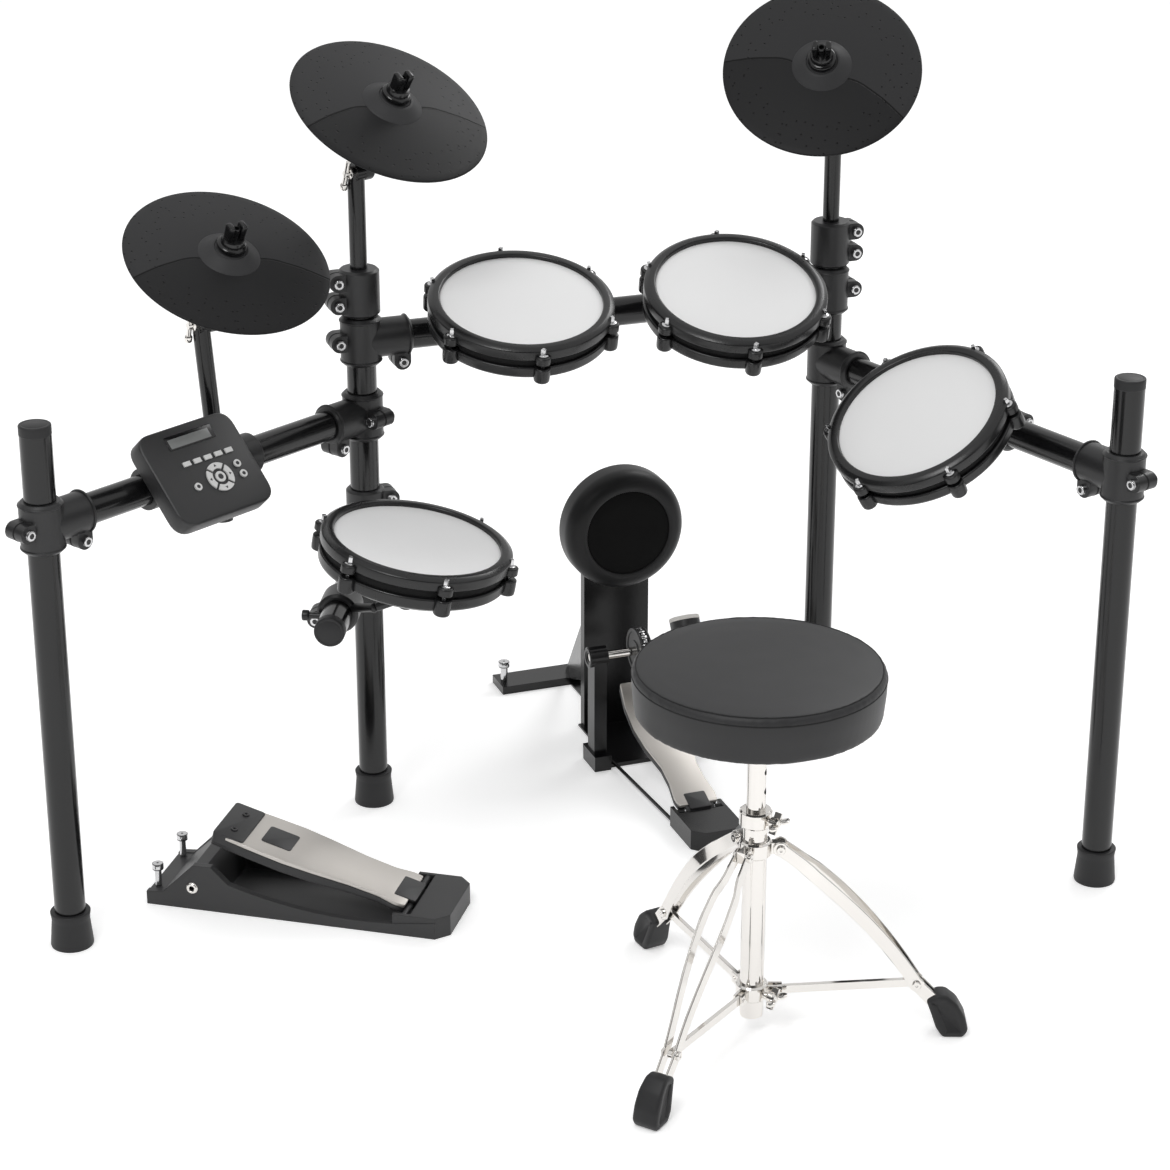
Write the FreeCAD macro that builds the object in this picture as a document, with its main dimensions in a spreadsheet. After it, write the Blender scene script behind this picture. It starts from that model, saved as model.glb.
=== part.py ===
import FreeCAD, Part
import math
import os

import Sketcher
from FreeCAD import Placement, Rotation, Vector

# Electronic drum kit. +Z is up, +X runs along the rear bar to the drummer's right, +Y points away
# from the drummer. The origin is on the floor, under the middle of the kit's box.

DIMENSIONS = {
    # where the middle of the rear bar lies from the origin
    "rear_bar_x": 160.86, "rear_bar_y": 293.79,
    # tubes, rods and fits
    "tube_radius": 19.0, "tube_wall": 2.0, "rod_radius": 11.0, "running_gap": 0.05, "clear_gap": 0.4,
    # rack
    "rear_half_span": 325.5, "rear_post_height": 712.0, "front_post_height": 676.0,
    "rear_bar_height": 652.0, "side_tube_height": 552.0,
    "left_wing_length": 525.0, "left_wing_angle": -151.3,
    "right_wing_length": 556.0, "right_wing_angle": -74.0,
    "foot_height": 46.0, "foot_floor": 4.0, "foot_top_radius": 22.0, "foot_bottom_radius": 26.0,
    "cap_height": 12.0, "cap_plug": 18.0, "cap_bevel": 1.5,
    # clamps
    "sleeve_radius": 26.0, "sleeve_height": 62.0, "sleeve_chamfer": 3.0,
    "socket_radius": 25.0, "socket_reach": 64.0, "socket_floor": 28.0,
    "ear_radius": 11.0, "ear_length": 30.0, "ear_reach": 31.0,
    "bolt_head_radius": 6.5, "bolt_head_height": 5.0,
    "lock_collar_height": 30.0, "lock_collar_level": 437.0,
    "rod_clamp_height": 60.0, "rod_clamp_grip": 26.0, "rod_sleeve_radius": 18.0,
    # snare arm
    "snare_arm_height": 366.0, "snare_arm_length": 280.0, "snare_arm_angle": -115.7, "snare_grip_back": 45.0,
    # pads
    "head_radius": 108.0, "head_thickness": 2.5,
    "hoop_inner_radius": 102.0, "hoop_outer_radius": 118.0, "hoop_height": 20.0, "hoop_lip": 4.0,
    "hoop_round": 3.0, "hoop_ear_radius": 7.4,
    "shell_radius": 110.0, "shell_wall": 4.0, "shell_round": 8.0, "pad_depth": 50.0,
    "lug_circle": 118.0, "lug_radius": 9.0, "lug_height": 20.0, "lug_lift": 6.0, "lug_count": 6.0,
    "tension_bolt_radius": 3.2, "tension_bolt_drop": 14.0, "tension_head_radius": 5.0,
    "knuckle_drop": 24.0, "knuckle_radius": 13.0, "knuckle_width": 16.0,
    "pin_radius": 4.0, "clevis_thickness": 6.0, "bracket_arm_radius": 5.6, "bracket_sleeve": 44.0,
    # cymbals
    "cymbal_radius": 128.0, "cymbal_rise": 14.0, "cymbal_thickness": 4.0, "cymbal_hole": 7.5,
    "bell_radius": 32.0, "bell_height": 26.0,
    "stem_radius": 4.0, "stem_ball": 6.5, "stem_length": 95.0,
    "felt_radius": 10.0, "felt_gap": 1.2, "felt_height": 5.0, "felt_seat": 8.0,
    "nut_radius": 9.0, "nut_height": 22.0, "nut_wing": 17.0, "wing_thickness": 6.0, "wing_height": 14.0,
    "tilter_radius": 13.0, "tilter_width": 14.0,
    "crash_pivot_height": 870.0, "ride_pivot_height": 892.0, "hihat_pivot_height": 714.0,
    "hihat_mast_at": 216.0, "hihat_mast_behind": 41.0, "hihat_rod_length": 255.0,
    "rear_rod_bottom": 636.0,
    # sound module
    "module_width": 142.0, "module_depth": 120.0, "module_thickness": 26.0, "module_corner": 16.0,
    "module_at": 311.0, "module_reach": 52.0, "module_rise": -13.0, "module_tilt": 43.0,
    "module_arm_spread": 50.0, "module_arm_width": 18.0,
    "screen_width": 66.0, "screen_height": 15.0, "screen_depth": 2.0, "screen_x": 0.7, "screen_y": 39.6,
    "key_width": 11.0, "key_length": 6.0, "key_pitch": 16.7, "key_height": 5.0, "key_proud": 2.0,
    "key_side_gap": 0.35, "key_row_x": -24.5, "key_row_y": 9.0,
    "ring_x": 10.5, "ring_y": -19.4, "ring_radius": 19.0, "ring_width": 8.0, "ring_split": 3.0,
    "round_key_radius": 5.0, "centre_key_radius": 7.0,
    # kick tower and pad
    "kick_x": 66.0, "tower_front": 113.0, "tower_width": 96.0, "tower_height": 356.0, "tower_flange": 14.0,
    "sheet_thickness": 3.0, "tower_base_front": 62.0, "tower_base_back": 312.0, "tower_base_width": 104.0,
    "floor_bar_length": 238.0, "floor_bar_width": 48.0, "floor_bar_height": 12.0, "floor_strip_width": 28.0,
    "stay_top": 172.0, "stay_rise": 75.0, "stay_half": 12.5,
    "spike_radius": 5.0, "spike_height": 34.0, "spike_head": 8.0, "spike_inset": 10.0,
    "kick_pad_radius": 86.0, "kick_pad_depth": 48.0, "kick_pad_height": 310.0, "kick_disc_radius": 64.0,
    # kick pedal
    "pedal_x": 58.0, "axle_height": 163.0, "axle_radius": 6.0, "axle_tail": 16.0,
    "upright_spread": 62.0, "upright_width": 18.0, "upright_depth": 26.0, "shoe_height": 22.0,
    "boss_radius": 14.0, "boss_length": 24.0, "base_plate_depth": 76.0, "base_plate_height": 6.0,
    "cam_radius": 32.0, "cam_width": 16.0, "hub_radius": 12.0, "hub_width": 16.0, "lever_reach": 34.0,
    "beater_offset": 22.0, "beater_reach": 136.0, "beater_back": 58.5, "beater_rod_radius": 4.0,
    "beater_radius": 21.0, "beater_length": 42.0,
    "heel_y": -222.0, "heel_pin_height": 24.0, "heel_length": 66.0, "heel_half": 36.0,
    "heel_height": 28.0, "heel_ear": 5.0, "heel_chamfer": 15.0,
    "board_length": 248.0, "board_angle": 19.0, "board_thickness": 5.0, "board_lift": 6.0,
    "board_toe_half": 25.0, "board_mid_half": 36.0, "board_heel_half": 27.0, "board_rib": 6.0,
    "barrel_radius": 7.5, "barrel_length": 40.0, "frame_rod_radius": 2.5, "frame_rod_spread": 44.0,
    "spring_radius": 8.0, "spring_wire": 1.2, "spring_turns": 14.0, "spring_bottom": 28.0,
    "spring_length": 126.0, "spring_out": 12.0, "spring_back": 22.0,
    # hi-hat controller
    "controller_x": -318.5, "controller_y": -358.2, "controller_angle": 145.6, "controller_length": 395.0,
    "controller_width": 118.0, "controller_wall": 9.0, "controller_floor": 8.0, "controller_height": 62.0,
    "controller_pin_at": 58.0, "controller_pin_height": 23.0, "controller_scoop": 560.0,
    "controller_board_length": 262.0, "controller_board_angle": 16.0,
    "controller_board_half": 46.0, "controller_heel_half": 41.0,
    "controller_spike_spread": 42.0, "controller_spike_height": 42.0,
    "jack_radius": 3.2, "jack_depth": 14.0, "jack_from_toe": 62.0, "jack_height": 30.0,
    "jack_ring": 3.5, "jack_proud": 2.0,
    # throne
    "throne_x": -82.0, "throne_y": -729.0, "stand_radius": 14.0, "stand_bottom": 22.0, "stand_top": 288.0,
    "collar_radius": 19.0, "collar_height": 20.0, "wing_bolt_angle": -60.0, "wing_bolt_length": 14.0,
    "seat_post_radius": 11.0, "seat_post_bottom": 140.0, "seat_base_height": 407.0,
    "seat_plate_radius": 62.0, "seat_hole_pitch": 24.0, "seat_hole_angle": -40.0,
    "seat_radius": 146.0, "seat_side": 59.0, "seat_crown": 10.0, "seat_rim": 5.0,
    "leg_first_angle": -21.0, "leg_pivot_reach": 29.0, "leg_pivot_height": 240.0,
    "leg_joint_reach": 190.0, "leg_joint_height": 66.0, "leg_foot_reach": 235.0,
    "leg_strap": 3.0, "leg_gap": 11.0, "leg_depth": 18.0, "leg_sag": 12.0, "leg_pin_radius": 3.0,
    "boot_width": 30.0,
    "brace_pivot_reach": 30.0, "brace_pivot_height": 55.0, "brace_thickness": 5.0, "brace_depth": 10.0,
    "brace_pin_radius": 2.5, "brace_ear": 3.0,
}

doc = FreeCAD.newDocument("drum_kit")
sheet = doc.addObject("Spreadsheet::Sheet", "Dims")
for row, (alias, number) in enumerate(DIMENSIONS.items(), start=1):
    sheet.set(f"A{row}", alias)
    sheet.set(f"B{row}", str(number))
    sheet.setAlias(f"B{row}", alias)
doc.recompute()

nodes = {}


class Size:
    """A length that knows both its number and its formula in the sheet."""

    def __init__(self, number, formula):
        self.number = number
        self.formula = formula

    def joined(self, other, sign, number):
        formula = other.formula if isinstance(other, Size) else repr(float(other))
        return Size(number, f"({self.formula} {sign} {formula})")

    def __add__(self, other):
        return self.joined(other, "+", self.number + float(other))

    def __sub__(self, other):
        return self.joined(other, "-", self.number - float(other))

    def __mul__(self, other):
        return self.joined(other, "*", self.number * float(other))

    def __truediv__(self, other):
        return self.joined(other, "/", self.number / float(other))

    def __neg__(self):
        return Size(-self.number, f"(-1 * {self.formula})")

    def __radd__(self, other):
        return self + other

    def __rsub__(self, other):
        return -self + other

    def __rmul__(self, other):
        return self * other

    def __float__(self):
        return float(self.number)


def dim(alias):
    return Size(DIMENSIONS[alias], f"Dims.{alias}")


def bind(thing, **sizes):
    for name, size in sizes.items():
        setattr(thing, name, float(size))
        if isinstance(size, Size):
            thing.setExpression(name, size.formula)


def point(x, y, z):
    return Vector(float(x), float(y), float(z))


def turn_to(direction):
    return Rotation(Vector(0, 0, 1), direction)


def axes(x_axis, z_axis):
    return Rotation(x_axis, Vector(0, 0, 0), z_axis, "ZXY")


def heading(angle):
    turn = math.radians(float(angle))
    return Vector(math.cos(turn), math.sin(turn), 0)


UP = Vector(0, 0, 1)
ACROSS = Vector(1, 0, 0)
AWAY = Vector(0, 1, 0)
STILL = Rotation()


def cylinder(name, radius, height, base=Vector(), direction=UP):
    made = doc.addObject("Part::Cylinder", name)
    bind(made, Radius=radius, Height=height)
    made.Placement = Placement(base, turn_to(direction))
    return made


def rod_between(name, radius, start, end):
    return cylinder(name, radius, (end - start).Length, start, end - start)


def centred_cylinder(name, radius, length, middle, direction):
    step = Vector(direction)
    step.normalize()
    return cylinder(name, radius, length, middle - step * (float(length) / 2), step)


def box(name, length, width, height, corner=Vector(), rotation=STILL):
    made = doc.addObject("Part::Box", name)
    bind(made, Length=length, Width=width, Height=height)
    made.Placement = Placement(corner, rotation)
    return made


def centred_box(name, length, width, height, middle=Vector(), rotation=STILL):
    corner = point(float(length) / -2, float(width) / -2, float(height) / -2)
    return box(name, length, width, height, middle + rotation.multVec(corner), rotation)


def sphere(name, radius, middle):
    made = doc.addObject("Part::Sphere", name)
    bind(made, Radius=radius)
    made.Placement = Placement(middle, STILL)
    return made


def fuse(name, *shapes):
    made = doc.addObject("Part::MultiFuse", name)
    made.Shapes = list(shapes)
    made.Refine = True
    return made


def cut(name, base, *tools):
    made = doc.addObject("Part::Cut", name)
    made.Base = base
    made.Tool = tools[0] if len(tools) == 1 else fuse(f"{name}_tools", *tools)
    made.Refine = True
    return made


def group(name, *shapes):
    made = doc.addObject("Part::Compound", name)
    made.Links = list(shapes)
    return made


def node(label, made, place=None):
    made.Label = label
    if place is not None:
        made.Placement = place
    nodes[label] = made
    return made


def plane_of(body, role):
    return next(f for f in body.Origin.OriginFeatures if f.Role == role)


def round_side(start, through, end):
    """An arc drawn anticlockwise through three points, and whether it runs from start to end."""
    middle = Part.Arc(start, through, end).toShape().Curve.Center
    forward = (through - start).cross(end - through).z > 0
    spots = (start, end) if forward else (end, start)
    first, last = (math.atan2(p.y - middle.y, p.x - middle.x) for p in spots)
    circle = Part.Circle(middle, UP, (start - middle).Length)
    return Part.ArcOfCircle(circle, first, last if last > first else last + 2 * math.pi), forward


def outline(body, name, role, corners, arcs=None):
    """A closed sketch through the corners; arcs maps a side's index to (a point it bulges to, radius)."""
    sketch = body.newObject("Sketcher::SketchObject", name)
    sketch.AttachmentSupport = [(plane_of(body, role), "")]
    sketch.MapMode = "FlatFace"
    spots = [point(x, y, 0) for x, y in corners]
    arcs = arcs or {}
    first_end = {}
    for side, start in enumerate(spots):
        end = spots[(side + 1) % len(spots)]
        if side in arcs:
            curve, forward = round_side(start, point(*arcs[side][0], 0), end)
            sketch.addGeometry(curve)
            first_end[side] = (1, 2) if forward else (2, 1)
        else:
            sketch.addGeometry(Part.LineSegment(start, end))
            first_end[side] = (1, 2)
    for side in range(len(spots)):
        following = (side + 1) % len(spots)
        sketch.addConstraint(
            Sketcher.Constraint("Coincident", side, first_end[side][1], following, first_end[following][0])
        )
    for side, corner in enumerate(corners):
        for kind, size in zip(("DistanceX", "DistanceY"), corner):
            index = sketch.addConstraint(
                Sketcher.Constraint(kind, -1, 1, side, first_end[side][0], float(size))
            )
            if isinstance(size, Size):
                sketch.setExpression(f"Constraints[{index}]", size.formula)
    for side, (_, radius) in arcs.items():
        index = sketch.addConstraint(Sketcher.Constraint("Radius", side, float(radius)))
        if isinstance(radius, Size):
            sketch.setExpression(f"Constraints[{index}]", radius.formula)
    return sketch


def turned(name, corners, arcs=None):
    """A solid turned about its own Z axis from a half section of (radius, height) corners."""
    body = doc.addObject("PartDesign::Body", name)
    sketch = outline(body, f"{name}_section", "XZ_Plane", corners, arcs)
    made = body.newObject("PartDesign::Revolution", f"{name}_turn")
    made.Profile = sketch
    made.ReferenceAxis = (sketch, ["V_Axis"])
    made.Angle = 360.0
    body.Tip = made
    return body


def plate(name, corners, thickness, role="XY_Plane", arcs=None):
    """A flat plate padded to both sides of its sketch plane."""
    body = doc.addObject("PartDesign::Body", name)
    sketch = outline(body, f"{name}_outline", role, corners, arcs)
    made = body.newObject("PartDesign::Pad", f"{name}_pad")
    made.Profile = sketch
    made.Midplane = True
    bind(made, Length=thickness)
    body.Tip = made
    return body


def placed(made, base=Vector(), rotation=STILL):
    made.Placement = Placement(base, rotation)
    return made


tube_radius = dim("tube_radius")
rod_radius = dim("rod_radius")
running_gap = dim("running_gap")
clear_gap = dim("clear_gap")
kit_shift = point(dim("rear_bar_x"), dim("rear_bar_y"), 0)


def spot(x, y, z):
    """A point given from the middle of the rear bar, at floor level."""
    return kit_shift + point(x, y, z)


left_post = spot(-dim("rear_half_span"), 0, 0)
right_post = spot(dim("rear_half_span"), 0, 0)
left_way = heading(dim("left_wing_angle"))
right_way = heading(dim("right_wing_angle"))
snare_way = heading(dim("snare_arm_angle"))
side_level = UP * float(dim("side_tube_height"))


def pipe(name, radius, wall, start, end):
    outer = rod_between(f"{name}_outer", radius, start, end)
    inner = rod_between(f"{name}_inner", radius - wall, start, end)
    return cut(name, outer, inner)


def sleeve(name, radius, length, middle, direction):
    """A round moulded sleeve with chamfered ends, solid until it is bored."""
    half = length / 2
    bevel = dim("sleeve_chamfer")
    made = turned(name, [(0, -half), (radius - bevel, -half), (radius, -half + bevel),
                         (radius, half - bevel), (radius - bevel, half), (0, half)])
    return placed(made, middle, turn_to(direction))


def ear(name, middle, outward, along):
    """A bolt ear: a round lug beside a sleeve, with its bolt and head."""
    side = Vector(outward)
    side.normalize()
    line = Vector(along)
    line.normalize()
    lug_middle = middle + side * float(dim("ear_reach"))
    lug = centred_cylinder(f"{name}_lug", dim("ear_radius"), dim("ear_length"), lug_middle, line)
    web = centred_box(f"{name}_web", dim("ear_radius") * 2, dim("ear_reach"), dim("ear_length"),
                      middle + side * (float(dim("ear_reach")) / 2), axes(side.cross(line) * -1, line))
    shank = dim("ear_length") + dim("bolt_head_height") * 2
    bolt = centred_cylinder(f"{name}_bolt", dim("bolt_head_radius"), shank, lug_middle, line)
    return [lug, web, bolt]


def tee_clamp(name, middle, way, ear_way):
    """A sleeve round an upright tube with a socket for a tube that leaves it level, and two bolt ears."""
    post_sleeve = sleeve(f"{name}_sleeve", dim("sleeve_radius"), dim("sleeve_height"), middle, UP)
    reach = dim("socket_reach")
    socket = sleeve(f"{name}_socket", dim("socket_radius"), reach, middle + way * (float(reach) / 2), way)
    socket_ear = ear(f"{name}_socket_ear", middle + way * float(reach - dim("ear_radius") * 1.2), UP * -1,
                     way.cross(UP))
    post_ear = ear(f"{name}_post_ear", middle, ear_way, ear_way.cross(UP))
    solid = fuse(f"{name}_solid", post_sleeve, socket, *socket_ear, *post_ear)
    post_bore = centred_cylinder(f"{name}_post_bore", tube_radius + running_gap,
        dim("sleeve_height") * 2, middle, UP)
    tube_bore = cylinder(f"{name}_tube_bore", tube_radius + running_gap, reach,
                         middle + way * float(dim("socket_floor")), way)
    return cut(name, solid, post_bore, tube_bore)


def rod_clamp(name, post, ear_way):
    """The reducing clamp on top of a rear post: wide bore below for the post, narrow bore above for a rod."""
    height = dim("rod_clamp_height")
    base = post + UP * float(dim("rear_post_height") - dim("rod_clamp_grip"))
    body = sleeve(f"{name}_sleeve", dim("sleeve_radius"), height, base + UP * (float(height) / 2), UP)
    lugs = []
    for level in (0.27, 0.76):
        lugs += ear(f"{name}_ear_{int(level * 100)}", base + UP * (float(height) * level), ear_way,
            ear_way.cross(UP))
    solid = fuse(f"{name}_solid", body, *lugs)
    post_bore = cylinder(f"{name}_post_bore", tube_radius + running_gap, dim("rod_clamp_grip") + clear_gap,
                         base, UP)
    rod_bore = cylinder(f"{name}_rod_bore", rod_radius + running_gap, height * 2, base, UP)
    return cut(name, solid, post_bore, rod_bore)


def lock_collar(name, post, level, ear_way):
    """A memory collar that stops a clamp from sliding down its post."""
    middle = post + UP * float(level)
    ring = sleeve(f"{name}_ring", dim("sleeve_radius") - 1, dim("lock_collar_height"), middle, UP)
    solid = fuse(f"{name}_solid", ring, *ear(f"{name}_ear", middle, ear_way, ear_way.cross(UP)))
    bore = centred_cylinder(f"{name}_bore", tube_radius + running_gap, dim("sleeve_height"), middle, UP)
    return cut(name, solid, bore)


def foot(name, base):
    """A rubber cup under a post, wider at the floor."""
    height = dim("foot_height")
    bore = tube_radius + running_gap
    made = turned(name, [(0, 0), (dim("foot_bottom_radius"), 0), (dim("foot_top_radius") + 1, height - 10),
                         (dim("foot_top_radius"), height), (bore, height), (bore, dim("foot_floor")),
                         (0, dim("foot_floor"))])
    return placed(made, base)


def end_cap(name, top, direction):
    """A plug flush with a tube's outside, with a collar of the tube's radius beyond its end."""
    plug = tube_radius - dim("tube_wall") - running_gap
    depth = dim("cap_plug")
    top_edge = dim("cap_height")
    bevel = dim("cap_bevel")
    made = turned(name, [(0, -depth), (plug, -depth), (plug, 0), (tube_radius, 0),
                         (tube_radius, top_edge - bevel), (tube_radius - bevel, top_edge), (0, top_edge)])
    return placed(made, top, turn_to(direction))


class Tilted:
    """A frame on a tilted disc: its middle, its normal and the level axis that it tilts about."""

    def __init__(self, middle, normal):
        self.middle = middle
        self.normal = Vector(normal)
        self.normal.normalize()
        self.axis = UP.cross(self.normal)
        self.axis.normalize()
        self.rotation = axes(self.axis, self.normal)

    def at(self, x, y, z):
        return self.middle + self.rotation.multVec(point(x, y, z))

    def place(self):
        return Placement(self.middle, self.rotation)


pads = {
    "tom_1": Tilted(spot(-141.6, -95, 710), Vector(-0.026, -0.278, 0.96)),
    "tom_2": Tilted(spot(137.4, -125, 705), Vector(-0.056, -0.352, 0.934)),
    "tom_3": Tilted(spot(278.2, -372, 599), Vector(-0.521, -0.192, 0.832)),
    "snare": Tilted(spot(-337, -269, 477), Vector(0.157, -0.09, 0.983)),
}


def knuckle_of(pad):
    return pad.at(0, 0, -float(dim("pad_depth") + dim("knuckle_drop")))


def nearest_on(start, way, target):
    return start + way * (target - start).dot(way)


def pad_bracket(name, pad, tube_start, tube_way, back=0.0):
    """A sleeve on a rack tube with an arm to the knuckle that a pad tilts on, and the knuckle's pin."""
    knuckle = knuckle_of(pad)
    nearest = nearest_on(tube_start, tube_way, knuckle)
    on_tube = nearest - tube_way * float(back)
    grip = sleeve(f"{name}_grip", dim("sleeve_radius"), dim("bracket_sleeve"), on_tube, tube_way)
    arm_radius = dim("bracket_arm_radius")
    arm = [rod_between(f"{name}_arm", arm_radius, nearest, knuckle)]
    if back:
        bend = knuckle + (nearest - knuckle) * 0.45
        arm = [rod_between(f"{name}_arm", arm_radius, bend, knuckle),
               sphere(f"{name}_bend", arm_radius + 0.8, bend),
               rod_between(f"{name}_reach", arm_radius, on_tube, bend)]
    eye = centred_cylinder(f"{name}_eye", dim("knuckle_radius"), dim("knuckle_width"), knuckle, pad.axis)
    pin_length = dim("knuckle_width") + (dim("clevis_thickness") + dim("bolt_head_height")) * 2
    pin = centred_cylinder(f"{name}_pin", dim("pin_radius"), pin_length, knuckle, pad.axis)
    grip_ear = ear(f"{name}_ear", on_tube, nearest - knuckle, tube_way)
    solid = fuse(f"{name}_solid", grip, *arm, eye, pin, *grip_ear)
    bore = centred_cylinder(f"{name}_bore", tube_radius + running_gap, dim("bracket_sleeve") * 2,
        on_tube, tube_way)
    return cut(name, solid, bore)


def lug_spots():
    count = int(DIMENSIONS["lug_count"])
    return [heading(30 + 360 / count * step) * float(dim("lug_circle")) for step in range(count)]


def pad_shell(name, pad):
    """The pad's closed bowl with its lugs and the clevis under it."""
    radius = dim("shell_radius")
    floor = -dim("pad_depth")
    rim = -dim("head_thickness")
    wall = dim("shell_wall")
    bevel = dim("shell_round")
    bowl = turned(f"{name}_bowl", [(0, floor), (radius - bevel, floor), (radius, floor + bevel),
                                   (radius, rim), (radius - wall, rim), (radius - wall, floor + bevel + 2),
                                   (radius - bevel - 2, floor + wall), (0, floor + wall)])
    lug_base = floor + dim("lug_lift")
    lugs = [cylinder(f"{name}_lug_{i}", dim("lug_radius"), dim("lug_height"), at + UP * float(lug_base))
            for i, at in enumerate(lug_spots())]
    holes = [cylinder(f"{name}_hole_{i}", dim("tension_bolt_radius") + clear_gap / 2, dim("lug_height"),
                      at + UP * float(lug_base + wall)) for i, at in enumerate(lug_spots())]
    drop = dim("knuckle_drop")
    cheeks = []
    cheek_reach = float(dim("knuckle_width") / 2 + clear_gap + dim("clevis_thickness") / 2)
    for side in (-1, 1):
        at = point(side * cheek_reach, 0, floor - drop)
        cheeks.append(centred_cylinder(f"{name}_cheek_{side + 1}", dim("knuckle_radius"),
                                       dim("clevis_thickness"), at, ACROSS))
        web = drop + wall / 2
        cheeks.append(centred_box(f"{name}_web_{side + 1}", dim("clevis_thickness"),
                                  dim("knuckle_radius") * 2, web, at + UP * (float(web) / 2)))
    bore = centred_cylinder(f"{name}_pin_bore", dim("pin_radius") + running_gap, dim("shell_radius"),
                            point(0, 0, floor - drop), ACROSS)
    solid = fuse(f"{name}_solid", bowl, *lugs, *cheeks)
    return node(name, cut(f"{name}_cut", solid, bore, *holes), pad.place())


def pad_hoop(name, pad):
    """The hoop that holds the head down, with its ears and tension bolts."""
    inner = dim("hoop_inner_radius")
    outer = dim("hoop_outer_radius")
    clear = dim("shell_radius") + clear_gap
    lip = dim("hoop_lip")
    skirt = lip - dim("hoop_height")
    bevel = dim("hoop_round")
    ring = turned(f"{name}_ring", [(inner, 0), (inner + bevel / 2, lip), (outer - bevel, lip),
                                   (outer, lip - bevel), (outer, skirt), (clear, skirt), (clear, 0)])
    parts = [ring]
    half = dim("hoop_height") / 2
    drop = dim("tension_bolt_drop")
    for i, at in enumerate(lug_spots()):
        foot_level = at + UP * float(skirt)
        parts.append(cylinder(f"{name}_ear_{i}", dim("hoop_ear_radius"), half, foot_level))
        parts.append(cylinder(f"{name}_bolt_{i}", dim("tension_bolt_radius"), drop + half + lip,
                              foot_level - UP * float(drop)))
        parts.append(cylinder(f"{name}_head_{i}", dim("tension_head_radius"), half + lip,
                              foot_level + UP * float(lip)))
    return node(name, fuse(f"{name}_solid", *parts), pad.place())


def pad_head(name, pad):
    thickness = dim("head_thickness")
    radius = dim("head_radius")
    disc = turned(f"{name}_disc", [(0, -thickness), (radius, -thickness), (radius, 0), (0, 0)])
    return node(name, disc, pad.place())


# Rack tubes
bar_level = UP * float(dim("rear_bar_height"))
post_base = UP * float(dim("foot_floor"))
for label, post in (("left_rear_post", left_post), ("right_rear_post", right_post)):
    top = post + UP * float(dim("rear_post_height"))
    node(label, pipe(f"{label}_pipe", tube_radius, dim("tube_wall"), post + post_base, top))
bar_inset = ACROSS * float(dim("socket_floor") + clear_gap)
node("rear_bar", pipe("rear_bar_pipe", tube_radius, dim("tube_wall"), left_post + bar_level + bar_inset,
                      right_post + bar_level - bar_inset))
left_corner = left_post + left_way * float(dim("left_wing_length"))
right_corner = right_post + right_way * float(dim("right_wing_length"))
for side, post, corner, way in (("left", left_post, left_corner, left_way),
                                ("right", right_post, right_corner, right_way)):
    inset = way * float(dim("socket_floor") + clear_gap)
    node(f"{side}_side_tube", pipe(f"{side}_side_pipe", tube_radius, dim("tube_wall"),
        post + side_level + inset, corner + side_level - inset))
    top = corner + UP * float(dim("front_post_height") - dim("cap_height"))
    node(f"{side}_front_post", pipe(f"{side}_front_pipe", tube_radius, dim("tube_wall"),
        corner + post_base, top))

# Fixed clamps, rod clamps, tom brackets and feet on the rear of the rack
bar_start = left_post + bar_level
node("rear_fittings", group(
    "rear_group",
    tee_clamp("left_bar_clamp", bar_start, ACROSS, ACROSS * -1),
    tee_clamp("right_bar_clamp", right_post + bar_level, ACROSS * -1, ACROSS),
    rod_clamp("crash_rod_clamp", left_post, ACROSS * -1),
    rod_clamp("ride_rod_clamp", right_post, ACROSS),
    pad_bracket("tom_1_bracket", pads["tom_1"], bar_start, ACROSS),
    pad_bracket("tom_2_bracket", pads["tom_2"], bar_start, ACROSS),
    lock_collar("left_lock_collar", left_post, dim("lock_collar_level"), ACROSS),
    foot("left_rear_foot", left_post),
    foot("right_rear_foot", right_post),
))

# The hi-hat's mast leans a little and stands behind the left side tube
mast_grip = left_post + side_level + left_way * float(dim("hihat_mast_at"))
mast_behind = UP.cross(left_way) * -1
mast_middle = mast_grip + mast_behind * float(dim("hihat_mast_behind"))
mast_way = Vector(-0.057, 0.061, 1)
mast_way.normalize()


def mast_clamp(name):
    grip = sleeve(f"{name}_grip", dim("sleeve_radius"), dim("bracket_sleeve"), mast_grip, left_way)
    holder = sleeve(f"{name}_holder", dim("rod_sleeve_radius"), dim("sleeve_height"), mast_middle, mast_way)
    bridge = centred_box(f"{name}_bridge", dim("bracket_sleeve") - 8, dim("hihat_mast_behind"),
        dim("ear_length"), (mast_grip + mast_middle) / 2, axes(left_way, UP))
    screw = ear(f"{name}_ear", mast_middle, mast_behind, left_way)
    solid = fuse(f"{name}_solid", grip, holder, bridge, *screw)
    tube_bore = centred_cylinder(f"{name}_tube_bore", tube_radius + running_gap,
        dim("sleeve_height") * 2, mast_grip, left_way)
    rod_bore = centred_cylinder(f"{name}_rod_bore", rod_radius + running_gap, dim("sleeve_height") * 2,
        mast_middle, mast_way)
    return cut(name, solid, tube_bore, rod_bore)


def wing_fittings(side, post, corner, way, *extra):
    ear_side = UP.cross(way)
    top = corner + UP * float(dim("front_post_height") - dim("cap_height"))
    node(f"{side}_fittings", group(
        f"{side}_group",
        tee_clamp(f"{side}_wing_clamp", post + side_level, way, ear_side),
        tee_clamp(f"{side}_corner_clamp", corner + side_level, way * -1, way),
        foot(f"{side}_front_foot", corner),
        end_cap(f"{side}_post_cap", top, UP),
        *extra,
    ))


wing_fittings("left", left_post, left_corner, left_way, mast_clamp("mast_clamp"))
wing_fittings("right", right_post, right_corner, right_way,
              pad_bracket("tom_3_bracket", pads["tom_3"], right_post + side_level, right_way))

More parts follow.
